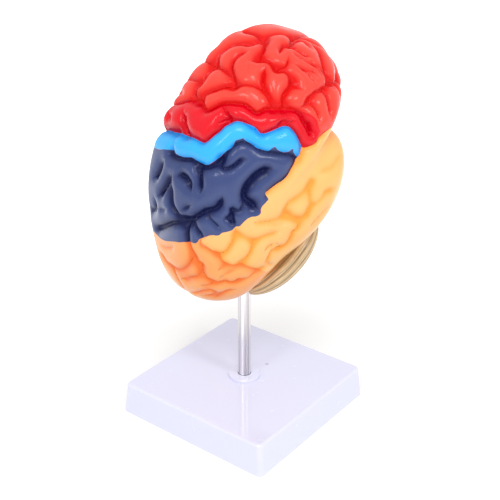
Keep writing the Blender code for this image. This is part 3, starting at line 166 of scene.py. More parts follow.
# Furrows of the outer face: depth, half width, points (degrees forward, degrees up) seen from the
# middle of the form
FURROWS = {
    "superior_frontal": (4.4, 8, (76.2, 17.2), (78.1, 21.9), (79, 26.4), (78.3, 30.6), (76.6, 34.9),
        (74, 37.5), (70.8, 39.2)),
    "superior_frontal_front": (3.6, 8, (76.2, 17.2), (76.5, 13.5), (77, 9.5)),
    "superior_frontal_branch": (3.4, 6.5, (70.8, 39.2), (73.5, 41.5), (77.3, 44.2), (80, 48)),
    "superior_frontal_rear": (4.2, 7.5, (70.8, 39.2), (67.1, 43.5), (64, 46.9), (60.8, 50), (59.1, 52.9),
        (55.8, 54), (51.7, 54.2)),
    "middle_frontal_link": (3.6, 6.5, (70.8, 39.2), (69.3, 38.5), (67.2, 36.2), (64.1, 33.6), (60.9, 30.8)),
    "middle_frontal_upright": (4.2, 7, (70.3, 19.5), (70.7, 22.3), (70.5, 24.9), (68.8, 27.5), (66.2, 29.1),
        (63.7, 29.8), (60.9, 29.6), (58.5, 29), (56.3, 28.8), (54.3, 29.1)),
    "middle_frontal": (4.6, 7.5, (54.3, 29.1), (54.9, 35), (54.5, 38.9), (54, 43.5), (53, 46.7), (50.3, 48.5),
        (49.5, 50.5)),
    "middle_frontal_front": (3.2, 6, (54.3, 29.1), (54, 26.5), (53.9, 23.4), (53.1, 19.6), (52.2, 17.3),
        (51.4, 14.4)),
    "frontal_spur": (1.6, 4, (63, 21.4), (60.8, 21), (59, 21.4)),
    "precentral": (4.4, 7.5, (49.5, 50.5), (45.5, 47.5), (42.8, 45), (44.5, 40), (46, 36), (46, 31),
        (44.8, 24), (42, 19.5), (41.2, 17), (43, 13), (43.5, 8), (44, 3), (44, -1), (43, -5), (40, -8),
        (38, -10.5), (36, -12.5)),
    "precentral_top": (3.2, 7, (49.5, 50.5), (51.7, 54.2), (51.5, 60), (51, 67), (51.5, 76), (52, 84)),
    "upper_frontal_gate": (4.6, 7.5, (90, 17), (85, 14), (82, 11.5), (77, 9.5), (74.6, 9.7), (72.2, 11),
        (69.8, 12.3), (68.4, 13.9), (66, 15.2)),
    "upper_frontal_foot": (2.4, 5.5, (66, 15.2), (65.3, 18), (65, 21)),
    "upper_frontal_cross": (3.8, 6.5, (77, 9.5), (79, 8), (80, 5), (80.3, 2), (80.5, -1), (79.6, -5),
        (79, -8)),
    "inner_frontal_arc": (3.8, 6, (66.6, 5), (68, 4.5), (70.5, 3), (72, 1.2), (71.8, -1), (73, -3.6),
        (75.5, -5.5), (79, -8)),
    "inner_frontal_step": (3.4, 6, (74, -4.6), (76, -8), (77, -11.5), (76.3, -14), (73.5, -15), (71, -15.5)),
    "inner_frontal_low": (3.4, 6, (71.8, -1), (71.2, -3.5), (69.8, -5.6), (68.1, -8.6), (67.6, -10.6),
        (66.2, -13.5)),
    "frontal_fork": (4.4, 6.5, (66, 15.2), (65, 12.8), (64, 10.8), (61.9, 8.7), (60.3, 7.3)),
    "frontal_fork_rise": (3.2, 5.5, (60.3, 7.3), (61.2, 4.8), (62, 2.4), (64.3, 1), (66.7, 0.2)),
    "frontal_fork_front": (3.8, 6, (60.3, 7.3), (59.6, 4), (57.9, 1.6), (56.4, 0.2), (55, -0.5)),
    "frontal_upright": (5, 7.5, (61.3, 12.7), (58.6, 13.8), (56.1, 14.4), (53.7, 14.6), (51.2, 13.9),
        (49, 12.3), (47.1, 10.9), (45.3, 9.8), (43.6, 9.4)),
    "frontal_middle_drop": (5, 7.5, (55, -0.5), (53, 1), (51, 3), (48.5, 4.5), (46, 4.2), (43.8, 3.8)),
    "frontal_middle_fork": (4, 5.5, (55, -0.5), (54, -1.8), (52.9, -3.3), (52, -5.5)),
    "small_wrinkle_a": (2.4, 4.5, (63, -0.5), (62, -3.3), (60.8, -6.3), (59.8, -8.3), (58.2, -9.6),
        (56.6, -10.6), (55.4, -12.2)),
    "small_wrinkle_b": (2.2, 4, (64, -12.3), (62, -14.5), (60.4, -15.6), (58.6, -16.3), (57.2, -16.9)),
    "small_wrinkle_c": (1.6, 4, (60.4, -12), (58.6, -12.8), (57, -13.6)),
    "outer_frontal_arc": (4, 6.5, (57.3, -22), (54, -18.5), (53, -15.5), (52, -12.5), (49.5, -10), (47, -7.5),
        (45.2, -4.6)),
    "outer_frontal_fall": (3, 6, (48.8, -9.3), (47.3, -10.5), (45.5, -12.9), (43.6, -14.6), (41.7, -15.6),
        (39.8, -16)),
    "outer_frontal_drop": (3.4, 6.5, (53.6, -17.6), (51, -19.2), (48.6, -20.6), (46.6, -21.4), (44.4, -22.6),
        (42, -23.6)),
    "outer_frontal_rise": (4, 6.5, (76, -18.5), (72.7, -20.5), (70, -20.6), (67.4, -20), (64.3, -19.5),
        (61.5, -19.8), (59.1, -20.8), (57.3, -22)),
    "outer_frontal_side": (3.4, 7, (74.5, -26), (73, -28), (70.5, -31), (67.5, -32.3), (63.5, -31.6),
        (59.7, -30), (57, -26.9), (56.4, -23.6)),
    "outer_frontal_edge": (3, 7, (59.7, -30), (57.5, -34), (54, -39), (50, -45)),
    "pole_furrow_a": (3.6, 6.5, (79, -8), (80.5, -12.5), (79.7, -16.4), (78, -20), (76.6, -24), (75.6, -28),
        (74, -34), (70, -42)),
    "pole_furrow_b": (3, 6, (80.5, -12.5), (82.3, -17), (83.5, -22), (84, -30), (80, -40)),
    "pole_furrow_c": (3, 7, (64, -36), (62, -42), (58, -47), (52, -50)),
    "precentral_notch": (4.6, 7.5, (43, 62), (40, 62.5), (35, 61.5), (30.5, 59.8), (27, 58)),
    "precentral_dimple": (3, 5, (44.5, 35.4), (42.5, 34), (40.2, 32.3), (38, 31), (36.2, 30.6)),
    "precentral_dimple_side": (2.2, 4.5, (38, 31), (37.5, 33), (36, 36), (33.4, 38)),
    "precentral_fold": (2.6, 4.5, (37.2, 5.4), (39, 3.6), (38.9, 0.8), (39.6, -1.4)),
    "precentral_pit": (3.4, 4, (39, -10.6), (37.4, -11.8), (35.8, -12.6)),
    "central_top": (5.2, 7.5, (28, 94), (28.5, 84), (28, 76), (28, 68)),
    "central": (3.4, 6.5, (28, 68), (27, 63), (26, 56), (25.3, 50), (24, 46.5), (24, 44.5), (26, 42.2),
        (29, 39.4), (31.5, 36), (35, 33), (37, 29.5), (37, 25), (36, 22), (34.5, 19.5), (33.8, 17.5),
        (32.5, 15.5), (32, 13.5), (33, 11.5), (34.5, 8.5), (36, 5), (37, 2.5), (37, 0), (35.5, -3), (34, -5),
        (31.5, -7.5), (28.5, -9.3)),
    "postcentral_top": (3.8, 6.5, (11, 69), (9.4, 66), (9.2, 62), (10, 57.3), (11.4, 51.2), (10.8, 47.2),
        (9.4, 43.7), (10, 40.2), (11.4, 37.3), (13.9, 34.7), (16.3, 32.8)),
    "postcentral_low": (3, 6, (16.3, 32.8), (20.6, 30.2), (24, 28), (26.2, 25.4), (27.2, 21.8), (26.4, 17.8),
        (25, 14.4), (24.3, 10.9), (24.4, 7.2), (24.6, 3), (24.8, -1.1), (24.5, -4.9), (22.8, -8.6)),
    "postcentral_notch": (1.6, 5, (22, 67.2), (18.5, 68), (15, 68.2), (11, 69)),
    "postcentral_ring": (3.6, 5, (16.3, 32.8), (14.2, 33), (12.4, 31.4), (12, 29.4), (14, 26.2), (17, 23.5),
        (19, 21.4), (18.8, 18.6)),
    "parietal_upright": (4.2, 5.5, (9.4, 43.7), (7.4, 44.4), (4.5, 43), (1.3, 41.8), (-1.4, 41), (-4.2, 40.2),
        (-6.4, 39.8)),
    "parietal_lens": (4.6, 6.5, (-3.5, 59.5), (-0.9, 55.6), (-1, 52.2), (-2.6, 49.3), (-4.9, 47.2),
        (-7.6, 45.3)),
    "parietal_crown_a": (4.2, 6.5, (2, 74.5), (-2, 76.6), (-8, 78), (-15, 79.8), (-21, 83)),
    "parietal_crown_b": (4.4, 6.5, (-4, 63.4), (-8, 65), (-13, 66.2), (-19, 67.3), (-25.6, 68.8), (-31, 71)),
    "intraparietal": (4.6, 6.5, (-11, 62.6), (-14, 61.4), (-17.6, 60.1), (-21.6, 58.9), (-24.9, 56.8),
        (-27.2, 54), (-28.6, 50.8), (-29.6, 48), (-29.6, 45), (-28.6, 42.2), (-25, 39.5), (-20.8, 37.5),
        (-18.4, 36), (-15.8, 34.3), (-14, 32.6), (-12.5, 30.6), (-11.1, 29.2), (-9.4, 28.2), (-6.6, 27.5),
        (-4.6, 27.3), (-2.4, 27.4)),
    "parietal_inner": (3, 4.5, (-24.2, 48.5), (-20.6, 46.1), (-17.5, 44.1), (-14.3, 42.1)),
    "parietal_shelf": (2, 5, (-42, 66), (-38, 62.5), (-35, 59.5), (-31.5, 57.5)),
    "parietal_rear": (4.2, 6.5, (-66, 58), (-56.5, 56), (-50.5, 54.4), (-44.6, 52.6), (-39.1, 50.2),
        (-35.8, 47.8), (-33.3, 45.7), (-30.9, 43.6), (-28.6, 42.2)),
    "parietal_rear_drop": (4, 6.5, (-28.6, 42.2), (-30.8, 40.8), (-33.7, 39.4), (-36.2, 38.4), (-38.4, 37.1),
        (-40, 35.7), (-41.5, 33.7), (-43.3, 31.6), (-44.6, 30), (-45.7, 28.2), (-47.2, 26.3), (-47.7, 24.5),
        (-47.2, 22.8)),
    "angular_ring": (3.4, 5, (-28.6, 42.2), (-26.4, 39.6), (-26.8, 36.9), (-27.9, 35), (-29, 33),
        (-29.7, 31.5), (-30.1, 29.6), (-30.1, 27.4)),
    "angular_line": (2.4, 4, (-15.8, 33), (-16.8, 31.5), (-18.2, 29.3), (-19.1, 27.2), (-20, 25.1),
        (-20.5, 23.1), (-21.1, 20.9)),
    "angular_top": (3, 4.5, (-9, 22.9), (-8.7, 20.9), (-8.7, 18.7), (-8.4, 16.6), (-7.2, 16.2), (-5.1, 16.1),
        (-3.1, 15.8)),
    "angular_drop": (3.4, 4.5, (-8.7, 20.6), (-10.2, 20.1), (-11.8, 19.7), (-13.3, 18.9), (-15.4, 17.8)),
    "angular_side": (2.4, 4, (-14.5, 25), (-14.5, 22.3), (-13.3, 20.8), (-12, 19.8)),
    "angular_low": (2, 3.5, (-14.3, 21.8), (-15, 19.9), (-15.7, 18.1)),
    "supramarginal": (5.4, 7.5, (16.8, 4.5), (16, 7), (14.5, 9.8), (12.2, 12.4), (9, 14.6), (5, 16.4),
        (1, 16.6), (-1.5, 15), (-3, 12), (-4.5, 8.8), (-5.8, 6)),
    "sylvian": (2.8, 6, (0.5, 4), (3, 5), (6, 3.2), (9, 0.6), (12, -2.6), (15, -4.8), (18.5, -6), (22, -7.5),
        (25, -9.3), (28.7, -11), (29.4, -13.2), (31, -16.5), (33.9, -18.6), (36, -21), (38.4, -23.8)),
    "temporal_upper": (2.6, 7, (12.5, -19.6), (10, -18.6), (6, -15.6), (3, -12.8), (0.4, -10.2), (-3.4, -8.9),
        (-6.2, -10.4)),
    "temporal_pit": (2.6, 5, (13.5, -20), (10, -18.8), (7, -19.6), (3.4, -20.6), (0.9, -21.8), (-2, -21.6),
        (-4.7, -21.2)),
    "temporal_blob": (2.8, 6, (-6.2, -10.4), (-7.4, -13.8), (-7.9, -17), (-6.8, -19.8), (-4.7, -21.2)),
    "temporal_upper_rear": (3.2, 6.5, (-7.9, -17), (-9.7, -19), (-13.3, -19.4), (-15.7, -18), (-18.9, -18.5),
        (-23.1, -18.5), (-25.7, -16.9), (-26.4, -14.4)),
    "temporal_front": (2, 6.5, (16.3, -22.3), (19, -25), (20.3, -28.3), (23, -31.5), (25.5, -34), (28, -38)),
    "temporal_middle": (2.2, 6, (9.4, -30), (8.6, -27.5), (5.9, -26.4), (2.9, -24.5), (0.9, -22.3),
        (-1, -21)),
    "temporal_rim": (1.4, 6, (8.6, -27.5), (9.6, -31), (9, -35), (7.5, -40)),
    "temporal_outer": (1.8, 7, (3, -33), (-2, -30), (-7, -27.5), (-12, -26)),
    "temporal_strip": (2.4, 6, (-13.1, 8.9), (-12.7, 4.9), (-11.8, 1), (-10.6, -3), (-9.2, -6.2),
        (-7.6, -9.6), (-6.9, -11.5)),
    "temporal_faint": (1.2, 5, (-14, -1), (-13, -5), (-12.2, -9), (-11.6, -13)),
    "temporal_wave": (2.8, 6, (-20.9, 14.3), (-21.5, 10), (-22.4, 6.2), (-23.1, 3.5), (-22, 1.5),
        (-20.4, -0.3), (-19.1, -2.5), (-18, -5.7), (-17, -8.5), (-16.4, -11)),
    "temporal_step": (3.2, 6, (-23.1, 3.5), (-25.2, 2.9), (-28, 2.7), (-31, 3), (-33.6, 4), (-36, 5)),
    "temporal_gate": (3.2, 6, (-17.6, 16), (-19, 15), (-20.9, 14.3), (-22.9, 14.3), (-26, 14.2), (-29, 14.6),
        (-31.8, 15.1), (-34, 16.5), (-35.2, 18.4)),
    "temporal_tail": (2.6, 5, (-22.9, -12), (-23.9, -9), (-25.2, -6.5), (-26.9, -5.1), (-28.8, -5.3)),
    "temporal_tail_ring": (2.8, 5, (-26.4, -14.4), (-27.2, -11.8), (-28.5, -9.8), (-31.2, -9.8),
        (-33.5, -9.6), (-34.4, -8.3)),
    "temporal_tail_low": (2.4, 5, (-33.5, -9.6), (-35.6, -11.6), (-36.9, -13.8), (-39.4, -18.5)),
    "occipital_border": (2.6, 6.5, (-31.5, 30.5), (-34, 29.4), (-35.9, 28.1), (-35.4, 25.7), (-35.6, 22.2),
        (-35.4, 19), (-36, 16.8), (-37.5, 15.3), (-38.5, 12.8), (-38.4, 9.8), (-37.6, 6.9), (-36, 5),
        (-36.9, 2.5), (-37.7, -1.1), (-38.4, -4.8), (-38.6, -8.5)),
    "occipital_hook": (3.2, 7, (-47.2, 22.8), (-49.1, 21.4), (-51.2, 20.2), (-53.4, 20), (-56.4, 20.6),
        (-59.9, 22), (-64.2, 22.2), (-66.9, 23.1), (-70, 23.8)),
    "occipital_low": (3.2, 6.5, (-51.2, 20.2), (-52.2, 16.9), (-52.1, 14.4), (-51.8, 11.3), (-50.2, 9.2),
        (-48.4, 7.5), (-48.5, 5), (-47.9, 2.6), (-46.2, 1.1)),
    "occipital_mid": (2.2, 5, (-44.7, 14.9), (-41.5, 13.3), (-39, 12.2)),
    "occipital_mid_low": (2.2, 5, (-46.7, 11.5), (-43.8, 9.8), (-41.3, 7.8), (-39.4, 5)),
    "occipital_front": (2, 5.5, (-38.6, -8.5), (-41, -5), (-44, -3), (-46.2, 1.1)),
    "occipital_shelf": (2.2, 5.5, (-69, 46.5), (-64.5, 44), (-60.6, 42.3), (-55.4, 41), (-51.5, 41.6)),
    "occipital_pole_a": (3.4, 7, (-45.7, 28.2), (-48, 28.6), (-51.3, 27.9), (-56.8, 27.6), (-62.3, 28.2),
        (-67.6, 30), (-71, 32), (-74, 34.2), (-75.2, 38), (-76, 43)),
    "occipital_pole_b": (3, 6, (-74, 13), (-68.9, 12.5), (-63.7, 12.4), (-59.4, 10.9), (-58.2, 8.7),
        (-60.2, 5.9), (-64.2, 7.6), (-68, 9.6)),
    "occipital_pole_c": (3, 6.5, (-66, 4), (-62, 3.6), (-58.1, 3.6), (-54.9, 2.7), (-53.2, 0.8),
        (-52.4, -1.6)),
    "occipital_pole_d": (2.4, 6.5, (-71, 31), (-73, 26), (-75.5, 20), (-79, 14), (-84, 10)),
    "occipital_pole_e": (2.2, 6, (-60, 17), (-57.5, 14.6), (-54.6, 12.6), (-52, 12.4)),
    "occipital_pole_f": (2.6, 7, (-70, -3), (-76, -7), (-80, -14), (-82, -22)),
    "under_temporal_a": (2.4, 7, (24, -46), (14, -49), (2, -50), (-10, -48)),
    "under_temporal_b": (2.6, 8, (20, -64), (8, -66), (-6, -66)),
    "under_temporal_c": (2.2, 7, (36, -50), (30, -56), (20, -58)),
    "under_frontal_a": (2.6, 7, (84, -52), (76, -58), (66, -62)),
    "under_frontal_b": (2.6, 7, (62, -66), (70, -72), (78, -76)),
    "crown_frontal": (3.2, 7, (62, 49), (66, 54), (69, 60), (66, 66), (60, 70)),
    "crown_frontal_side": (2.8, 7, (56, 62), (59, 66), (60, 70), (58, 77)),
    "crown_precentral": (2.8, 6.5, (44, 78), (40, 77), (36, 74)),
    "crown_parietal": (3, 7, (-36, 74), (-42, 70), (-48, 69), (-58, 72)),
    "crown_upper": (3, 7, (86, 30), (84, 38), (80, 48), (74, 58)),
}

# Shallow furrows of the same face, which the solid is too coarse for
FINE_FURROWS = {
    "pole_fold": (2.2, 4.5, (69, -1.3), (66.7, -4.1), (64.9, -7.9), (63.6, -12), (62.9, -16.1), (60.3, -18.2),
        (58.1, -18.9)),
    "pole_notch": (2, 4, (60.8, -6.3), (60.6, -9.3), (60.4, -12)),
    "side_fold": (2.4, 5, (56.4, -20.5), (57.3, -24), (56.8, -27), (54.5, -29), (51.5, -30)),
    "orbit_long": (2.6, 6.5, (84, -46), (80, -52), (74, -56), (68, -58), (63, -62)),
    "orbit_short": (2.4, 6, (77, -44), (73, -49), (74, -56)),
    "orbit_rear": (2.2, 6, (68, -58), (66, -52), (62, -50)),
    "temporal_low": (2.4, 6, (34, -47), (26, -51), (18, -52), (9, -50), (1, -51)),
    "temporal_rib": (2.2, 6, (22, -60), (18, -52)),
}

# Furrows of the flat inner face: depth, half width, points (a, s) in millimetres
INNER_FURROWS = {
    "callosal_outer": (2.4, 3.5, (38, -10), (44, -2), (45, 8), (38, 18), (22, 23.5), (2, 25), (-18, 22),
        (-33, 13), (-38, 3)),
    "callosal_inner": (2.4, 3.5, (35, -9), (37, 0), (36, 7), (30, 12.5), (18, 16), (2, 17), (-14, 14.5),
        (-25, 8), (-29, 2), (-34, -2), (-38, 3)),
    "cingulate": (2.8, 6, (48, -18), (57, -6), (59, 6), (54, 18), (42, 29), (24, 35), (4, 36.5), (-12, 35),
        (-22, 39), (-26, 46), (-27, 54)),
    "paracentral": (2.2, 5.5, (30, 35), (33, 43), (34, 52)),
    "central_end": (2, 5, (15.5, 57), (14, 50), (15, 44)),
    "parieto_occipital": (3, 6, (-52, 42), (-47, 30), (-41, 18), (-36, 7), (-33, 1)),
    "subparietal": (2.2, 5, (-18, 33), (-27, 29), (-34, 22)),
    "precuneus": (1.8, 5, (-36, 48), (-35, 40), (-38, 33)),
    "calcarine": (3, 6, (-84, 2), (-72, 5), (-60, 2), (-48, 5), (-40, 4), (-33, 1)),
    "cuneus": (1.8, 5, (-74, 20), (-64, 18), (-55, 20)),
    "collateral": (2.4, 6, (-62, -8), (-48, -11), (-34, -16), (-20, -22), (-8, -26)),
    "frontal_inner_a": (2, 6, (78, 18), (70, 13), (67, 4), (70, -6)),
    "frontal_inner_b": (2, 6, (66, 34), (60, 27), (52, 28)),
    "frontal_inner_c": (1.8, 5.5, (46, 46), (44, 40), (50, 36)),
    "frontal_low": (2, 6, (80, -16), (70, -19), (60, -17), (50, -22)),
    "thalamus": (1.8, 3.5, (12, 6), (4, 10), (-8, 8), (-14, 1), (-10, -6), (0, -9), (9, -5), (12, 6)),
    "stem_front": (2, 4, (18, -12), (12, -20), (10, -30), (6, -38)),
    "stem_rear": (2, 4, (-14, -8), (-16, -18), (-14, -28), (-12, -38)),
}

# Borders of the painted fields on the outer face, as points of the same map
LINE_FRONT = [(54, 82), (52, 78), (51, 74), (52, 67), (52, 58), (50, 52), (46.5, 49), (43, 45.5), (44, 42),
    (45.5, 38), (46, 34), (45.5, 29), (44.5, 23), (42, 19.5), (41.2, 17), (43, 13), (43.3, 8), (44, 3),
    (44, -1), (44, -4), (43.5, -8), (42.5, -11), (41, -14), (38.5, -15.5), (36.5, -17.5)]
LINE_CENTRAL = [(28, 92), (28.5, 80), (27.8, 75), (27.8, 70), (28, 66), (26.7, 60.4), (25.9, 55.2),
    (25, 50.5), (24, 47), (23.7, 44.9), (24.7, 43), (26.6, 40.7), (30.7, 36.5), (33.8, 33.5), (36.4, 30.2),
    (37, 27), (36.6, 23.7), (35.8, 20.7), (34.5, 17.3), (32.7, 15), (32.5, 12.7), (33.3, 10.7), (34.6, 7.8),
    (36, 5), (37, 2.5), (37, 0), (35.5, -3), (34, -5), (31.5, -7.5), (28.9, -9.7)]
LINE_REAR = [(8, 94), (9.3, 83.2), (11.3, 76.9), (13, 71), (13.8, 66), (12.4, 65.2), (11.6, 61.7),
    (11.7, 56.6), (13.1, 51.1), (12.4, 48.4), (11.7, 45), (11.2, 42.2), (11.5, 40.1), (13, 38), (16.8, 34.6),
    (21, 31), (24.2, 27.8), (27.2, 26.8), (28.3, 24.5), (29, 23), (28, 21.5), (27, 18.5), (25.5, 15.5),
    (25, 12), (25, 9), (26.3, 8), (27.5, 6.5), (26.5, 5), (25.5, 1.5), (26, -1.5), (28, -3.5), (26.5, -4.3),
    (25, -6.5), (24, -8.5)]
LINE_LOWER = [(24, -8.5), (22, -7.5), (18.5, -6), (15, -5), (12, -3), (9.5, 0), (7.5, 2), (5, 4.5), (4, 5.5),
    (2.5, 4.5), (1, 3), (-1.5, 4.5), (-3.5, 5.5), (-5.5, 5.5), (-7, 5), (-9, 6.5), (-10, 10), (-12.5, 12.5),
    (-16, 14), (-17, 15.8), (-19.5, 17), (-21, 19.5), (-22.5, 21.5), (-24.5, 22.5), (-26, 26), (-28.5, 28),
    (-31, 29.5)]
LINE_BACK = [(-31, 29.5), (-32.6, 30.6), (-34.6, 30.8), (-36.4, 31.4), (-38, 33.6), (-40.6, 35.2),
    (-42.4, 37.6), (-45.2, 39.8), (-47.6, 41.6), (-50.2, 43.2), (-54.4, 45.2), (-59, 47.8), (-63.2, 50.6),
    (-66, 53.6), (-71, 60), (-76, 68)]
LINE_SYLVIAN = [(28.9, -9.7), (28.7, -11), (29.4, -13), (30.5, -15.7), (31.7, -17.5), (33.7, -18.2),
    (34.4, -18.9), (35.8, -20.8), (37.2, -22.4), (38.5, -24), (39.5, -28), (41, -33), (46.5, -38),
    (50.5, -44), (51.5, -50), (50.5, -56), (48.5, -62), (44, -68), (37, -74), (30, -82)]
LINE_TEMPORAL = [(-31, 29.5), (-33.4, 28.4), (-34, 25.5), (-34.5, 22), (-34.4, 19.4), (-35, 17.2),
    (-36.9, 15.6), (-38, 13), (-37.9, 9.8), (-37.1, 7), (-36.2, 5), (-36.5, 2.5), (-37.3, -1.1), (-38, -4.8),
    (-39.4, -9), (-41.5, -14), (-44, -20), (-46, -30), (-49, -50), (-58, -74)]

# Fields of the flat inner face, as outlines (a, s) in millimetres
INNER_FIELDS = {
    "precentral": [(33, 70), (33, 52), (31, 42), (29, 35), (20, 35.5), (15, 44), (14, 50), (16, 70)],
    "postcentral": [(16, 70), (14, 50), (15, 44), (20, 35.5), (4, 36.5), (5, 46), (7, 70)],
    "parietal": [(7, 70), (5, 46), (4, 36.5), (-18, 22), (-33, 13), (-36, 7), (-41, 18), (-47, 30), (-52, 42),
        (-64, 60)],
    "occipital": [(-64, 60), (-52, 42), (-47, 30), (-41, 18), (-36, 7), (-33, 1), (-40, -6), (-38, -14),
        (-36, -50), (-110, -40), (-110, 60)],
    "temporal": [(-33, 1), (-40, -6), (-38, -14), (-36, -70), (44, -70), (40, -30), (26, -22), (10, -20),
        (-14, -10), (-29, -3)],
    "core": [(38, -10), (44, -2), (45, 8), (38, 18), (22, 23.5), (2, 25), (-18, 22), (-33, 13), (-38, 3),
        (-33, -4), (-16, -10), (-16, -18), (-14, -28), (-12, -70), (6, -70), (6, -38), (10, -30), (12, -20),
        (20, -12), (34, -10)],
}


# Small helpers for smooth solids
def unit(vectors):
    return vectors / np.maximum(np.linalg.norm(vectors, axis=1), 1e-9)[:, None]


def smooth_min(first, second, blend):
    mix = np.clip(0.5 + 0.5 * (second - first) / blend, 0.0, 1.0)
    return second * (1.0 - mix) + first * mix - blend * mix * (1.0 - mix)


def smooth_max(first, second, blend):
    return -smooth_min(-first, -second, blend)


def through(points, closed, steps):
    # A smooth curve through the given points
    knots = np.array(points, dtype=float)
    if closed:
        padded = np.concatenate([knots[-1:], knots, knots[:2]])
    else:
        padded = np.concatenate([2 * knots[:1] - knots[1:2], knots, 2 * knots[-1:] - knots[-2:-1]])
    t = (np.arange(steps) / steps)[:, None]
    rows = []
    for p0, p1, p2, p3 in zip(padded, padded[1:], padded[2:], padded[3:]):
        rows.append(0.5 * (2 * p1 + (p2 - p0) * t + (2 * p0 - 5 * p1 + 4 * p2 - p3) * t ** 2
                           + (3 * p1 - p0 - 3 * p2 + p3) * t ** 3))
    if not closed:
        rows.append(knots[-1:])
    return np.concatenate(rows)


def outline_radius():
    curve = through(OUTLINE, True, OUTLINE_STEPS)
    reach = curve - np.array(CENTRE)
    angle = np.arctan2(reach[:, 1], reach[:, 0])
    radius = np.hypot(reach[:, 0], reach[:, 1])
    order = np.argsort(angle)
    return angle[order], radius[order]


RADIUS_ANGLE, RADIUS_VALUE = outline_radius()
CUT_NORMAL = np.array((-math.sin(math.radians(CUT_ANGLE)), -math.cos(math.radians(CUT_ANGLE))))


def cut_distance(points):
    # Millimetres beyond the flat face, towards the cerebellum
    return (points[:, 0] - CUT_POINT[0]) * CUT_NORMAL[0] + (points[:, 1] - CUT_POINT[1]) * CUT_NORMAL[1]


def hemisphere(points):
    # Below zero inside the smooth form of the hemisphere
    a = points[:, 0] - CENTRE[0]
    s = points[:, 1] - CENTRE[1]
    side = points[:, 2]
    edge = np.interp(np.arctan2(s, a), RADIUS_ANGLE, RADIUS_VALUE, period=2 * math.pi)
    reach = np.hypot(a, s) / edge
    dome = reach ** DOME_POWER + (np.abs(side) / HALF_WIDTH) ** DOME_SIDE_POWER
    dome = (dome ** (1.0 / DOME_POWER) - 1.0) * DOME_SCALE
    tilt = math.radians(TEMPORAL_TILT)
    offset = points - np.array(TEMPORAL_CENTRE)
    along = (offset[:, 0] * math.cos(tilt) - offset[:, 1] * math.sin(tilt)) / TEMPORAL_RADII[0]
    across = (offset[:, 0] * math.sin(tilt) + offset[:, 1] * math.cos(tilt)) / TEMPORAL_RADII[1]
    out = offset[:, 2] / TEMPORAL_RADII[2]
    lobe = (np.sqrt(along ** 2 + across ** 2 + out ** 2) - 1.0) * TEMPORAL_RADII[1]
    blend = np.interp(points[:, 0], TEMPORAL_JOIN, TEMPORAL_BLEND)
    body = smooth_max(smooth_min(dome, lobe, blend), -side, RIM)
    return np.maximum(body, cut_distance(points) + 0.5 * GAP / MM)


def cast(centre, directions):
    # The first place where each ray leaves the smooth form
    stride = CAST_REACH / CAST_STEPS
    near = np.zeros(len(directions))
    going = np.ones(len(directions), dtype=bool)
    for _ in range(CAST_STEPS):
        going[going] = hemisphere(centre + directions[going] * (near[going] + stride)[:, None]) < 0.0
        near[going] += stride
    far = near + stride
    for _ in range(CAST_HALVINGS):
        middle = 0.5 * (near + far)
        inside = hemisphere(centre + directions * middle[:, None]) < 0.0
        near = np.where(inside, middle, near)
        far = np.where(inside, far, middle)
    return centre + directions * (0.5 * (near + far))[:, None]


def map_point(pairs):
    # From degrees forward and up, seen from the middle, to the smooth form
    lean = np.radians(np.hypot(pairs[:, 0], pairs[:, 1]))
    turn = np.arctan2(pairs[:, 1], pairs[:, 0])
    rays = np.stack([np.sin(lean) * np.cos(turn), np.sin(lean) * np.sin(turn), np.cos(lean)], axis=1)
    return cast(np.array(MAP_CENTRE), rays)


def to_map(points):
    # From places on the form back to degrees forward and up
    rays = points - np.array(MAP_CENTRE)
    lean = np.degrees(np.arctan2(np.hypot(rays[:, 0], rays[:, 1]), rays[:, 2]))
    turn = np.arctan2(rays[:, 1], rays[:, 0])
    return np.stack([lean * np.cos(turn), lean * np.sin(turn)], axis=1)


def on_inner_face(pairs):
    # Points (a, s) as places on the flat inner face
    return np.column_stack([pairs, np.zeros(len(pairs))])


def furrow_lines():
    # Depth, half width and course of every furrow
    lines = []
    for depth, width, *points in [*FURROWS.values(), *FINE_FURROWS.values()]:
        lines.append((depth, width, map_point(through(points, False, FURROW_STEPS))))
    for depth, width, *points in INNER_FURROWS.values():
        lines.append((depth, width, on_inner_face(through(points, False, FURROW_STEPS))))
    return lines


def near_line(points, line, reach):
    # Which points lie in the box round a line
    low = line.min(axis=0) - reach
    high = line.max(axis=0) + reach
    return np.nonzero(np.all((points > low) & (points < high), axis=1))[0]


def nearest_on_line(points, line):
    # Distance to a line of straight runs, the nearest point and the length along it
    best = np.full(len(points), 1e9)
    spot = np.zeros_like(points)
    along = np.zeros(len(points))
    run = 0.0
    for start, end in zip(line[:-1], line[1:]):
        step = end - start
        length = np.linalg.norm(step)
        if length < 1e-6:
            continue
        share = np.clip((points - start) @ step / length ** 2, 0.0, 1.0)
        foot = start + share[:, None] * step
        gap = np.linalg.norm(points - foot, axis=1)
        closer = gap < best
        best = np.where(closer, gap, best)
        spot[closer] = foot[closer]
        along = np.where(closer, run + share * length, along)
        run += length
    return best, spot, along, run


def distance_to(points, line, reach):
    # Distance to a line of straight runs, cut off at the given reach
    best = np.full(len(points), reach)
    near = near_line(points, line, reach)
    best[near] = np.minimum(nearest_on_line(points[near], line)[0], reach)
    return best


def meets(spot, lines):
    # Whether the end of a furrow lies on another one
    return any(np.min(np.linalg.norm(line - spot, axis=1)) < JOIN_REACH for _, _, line in lines)


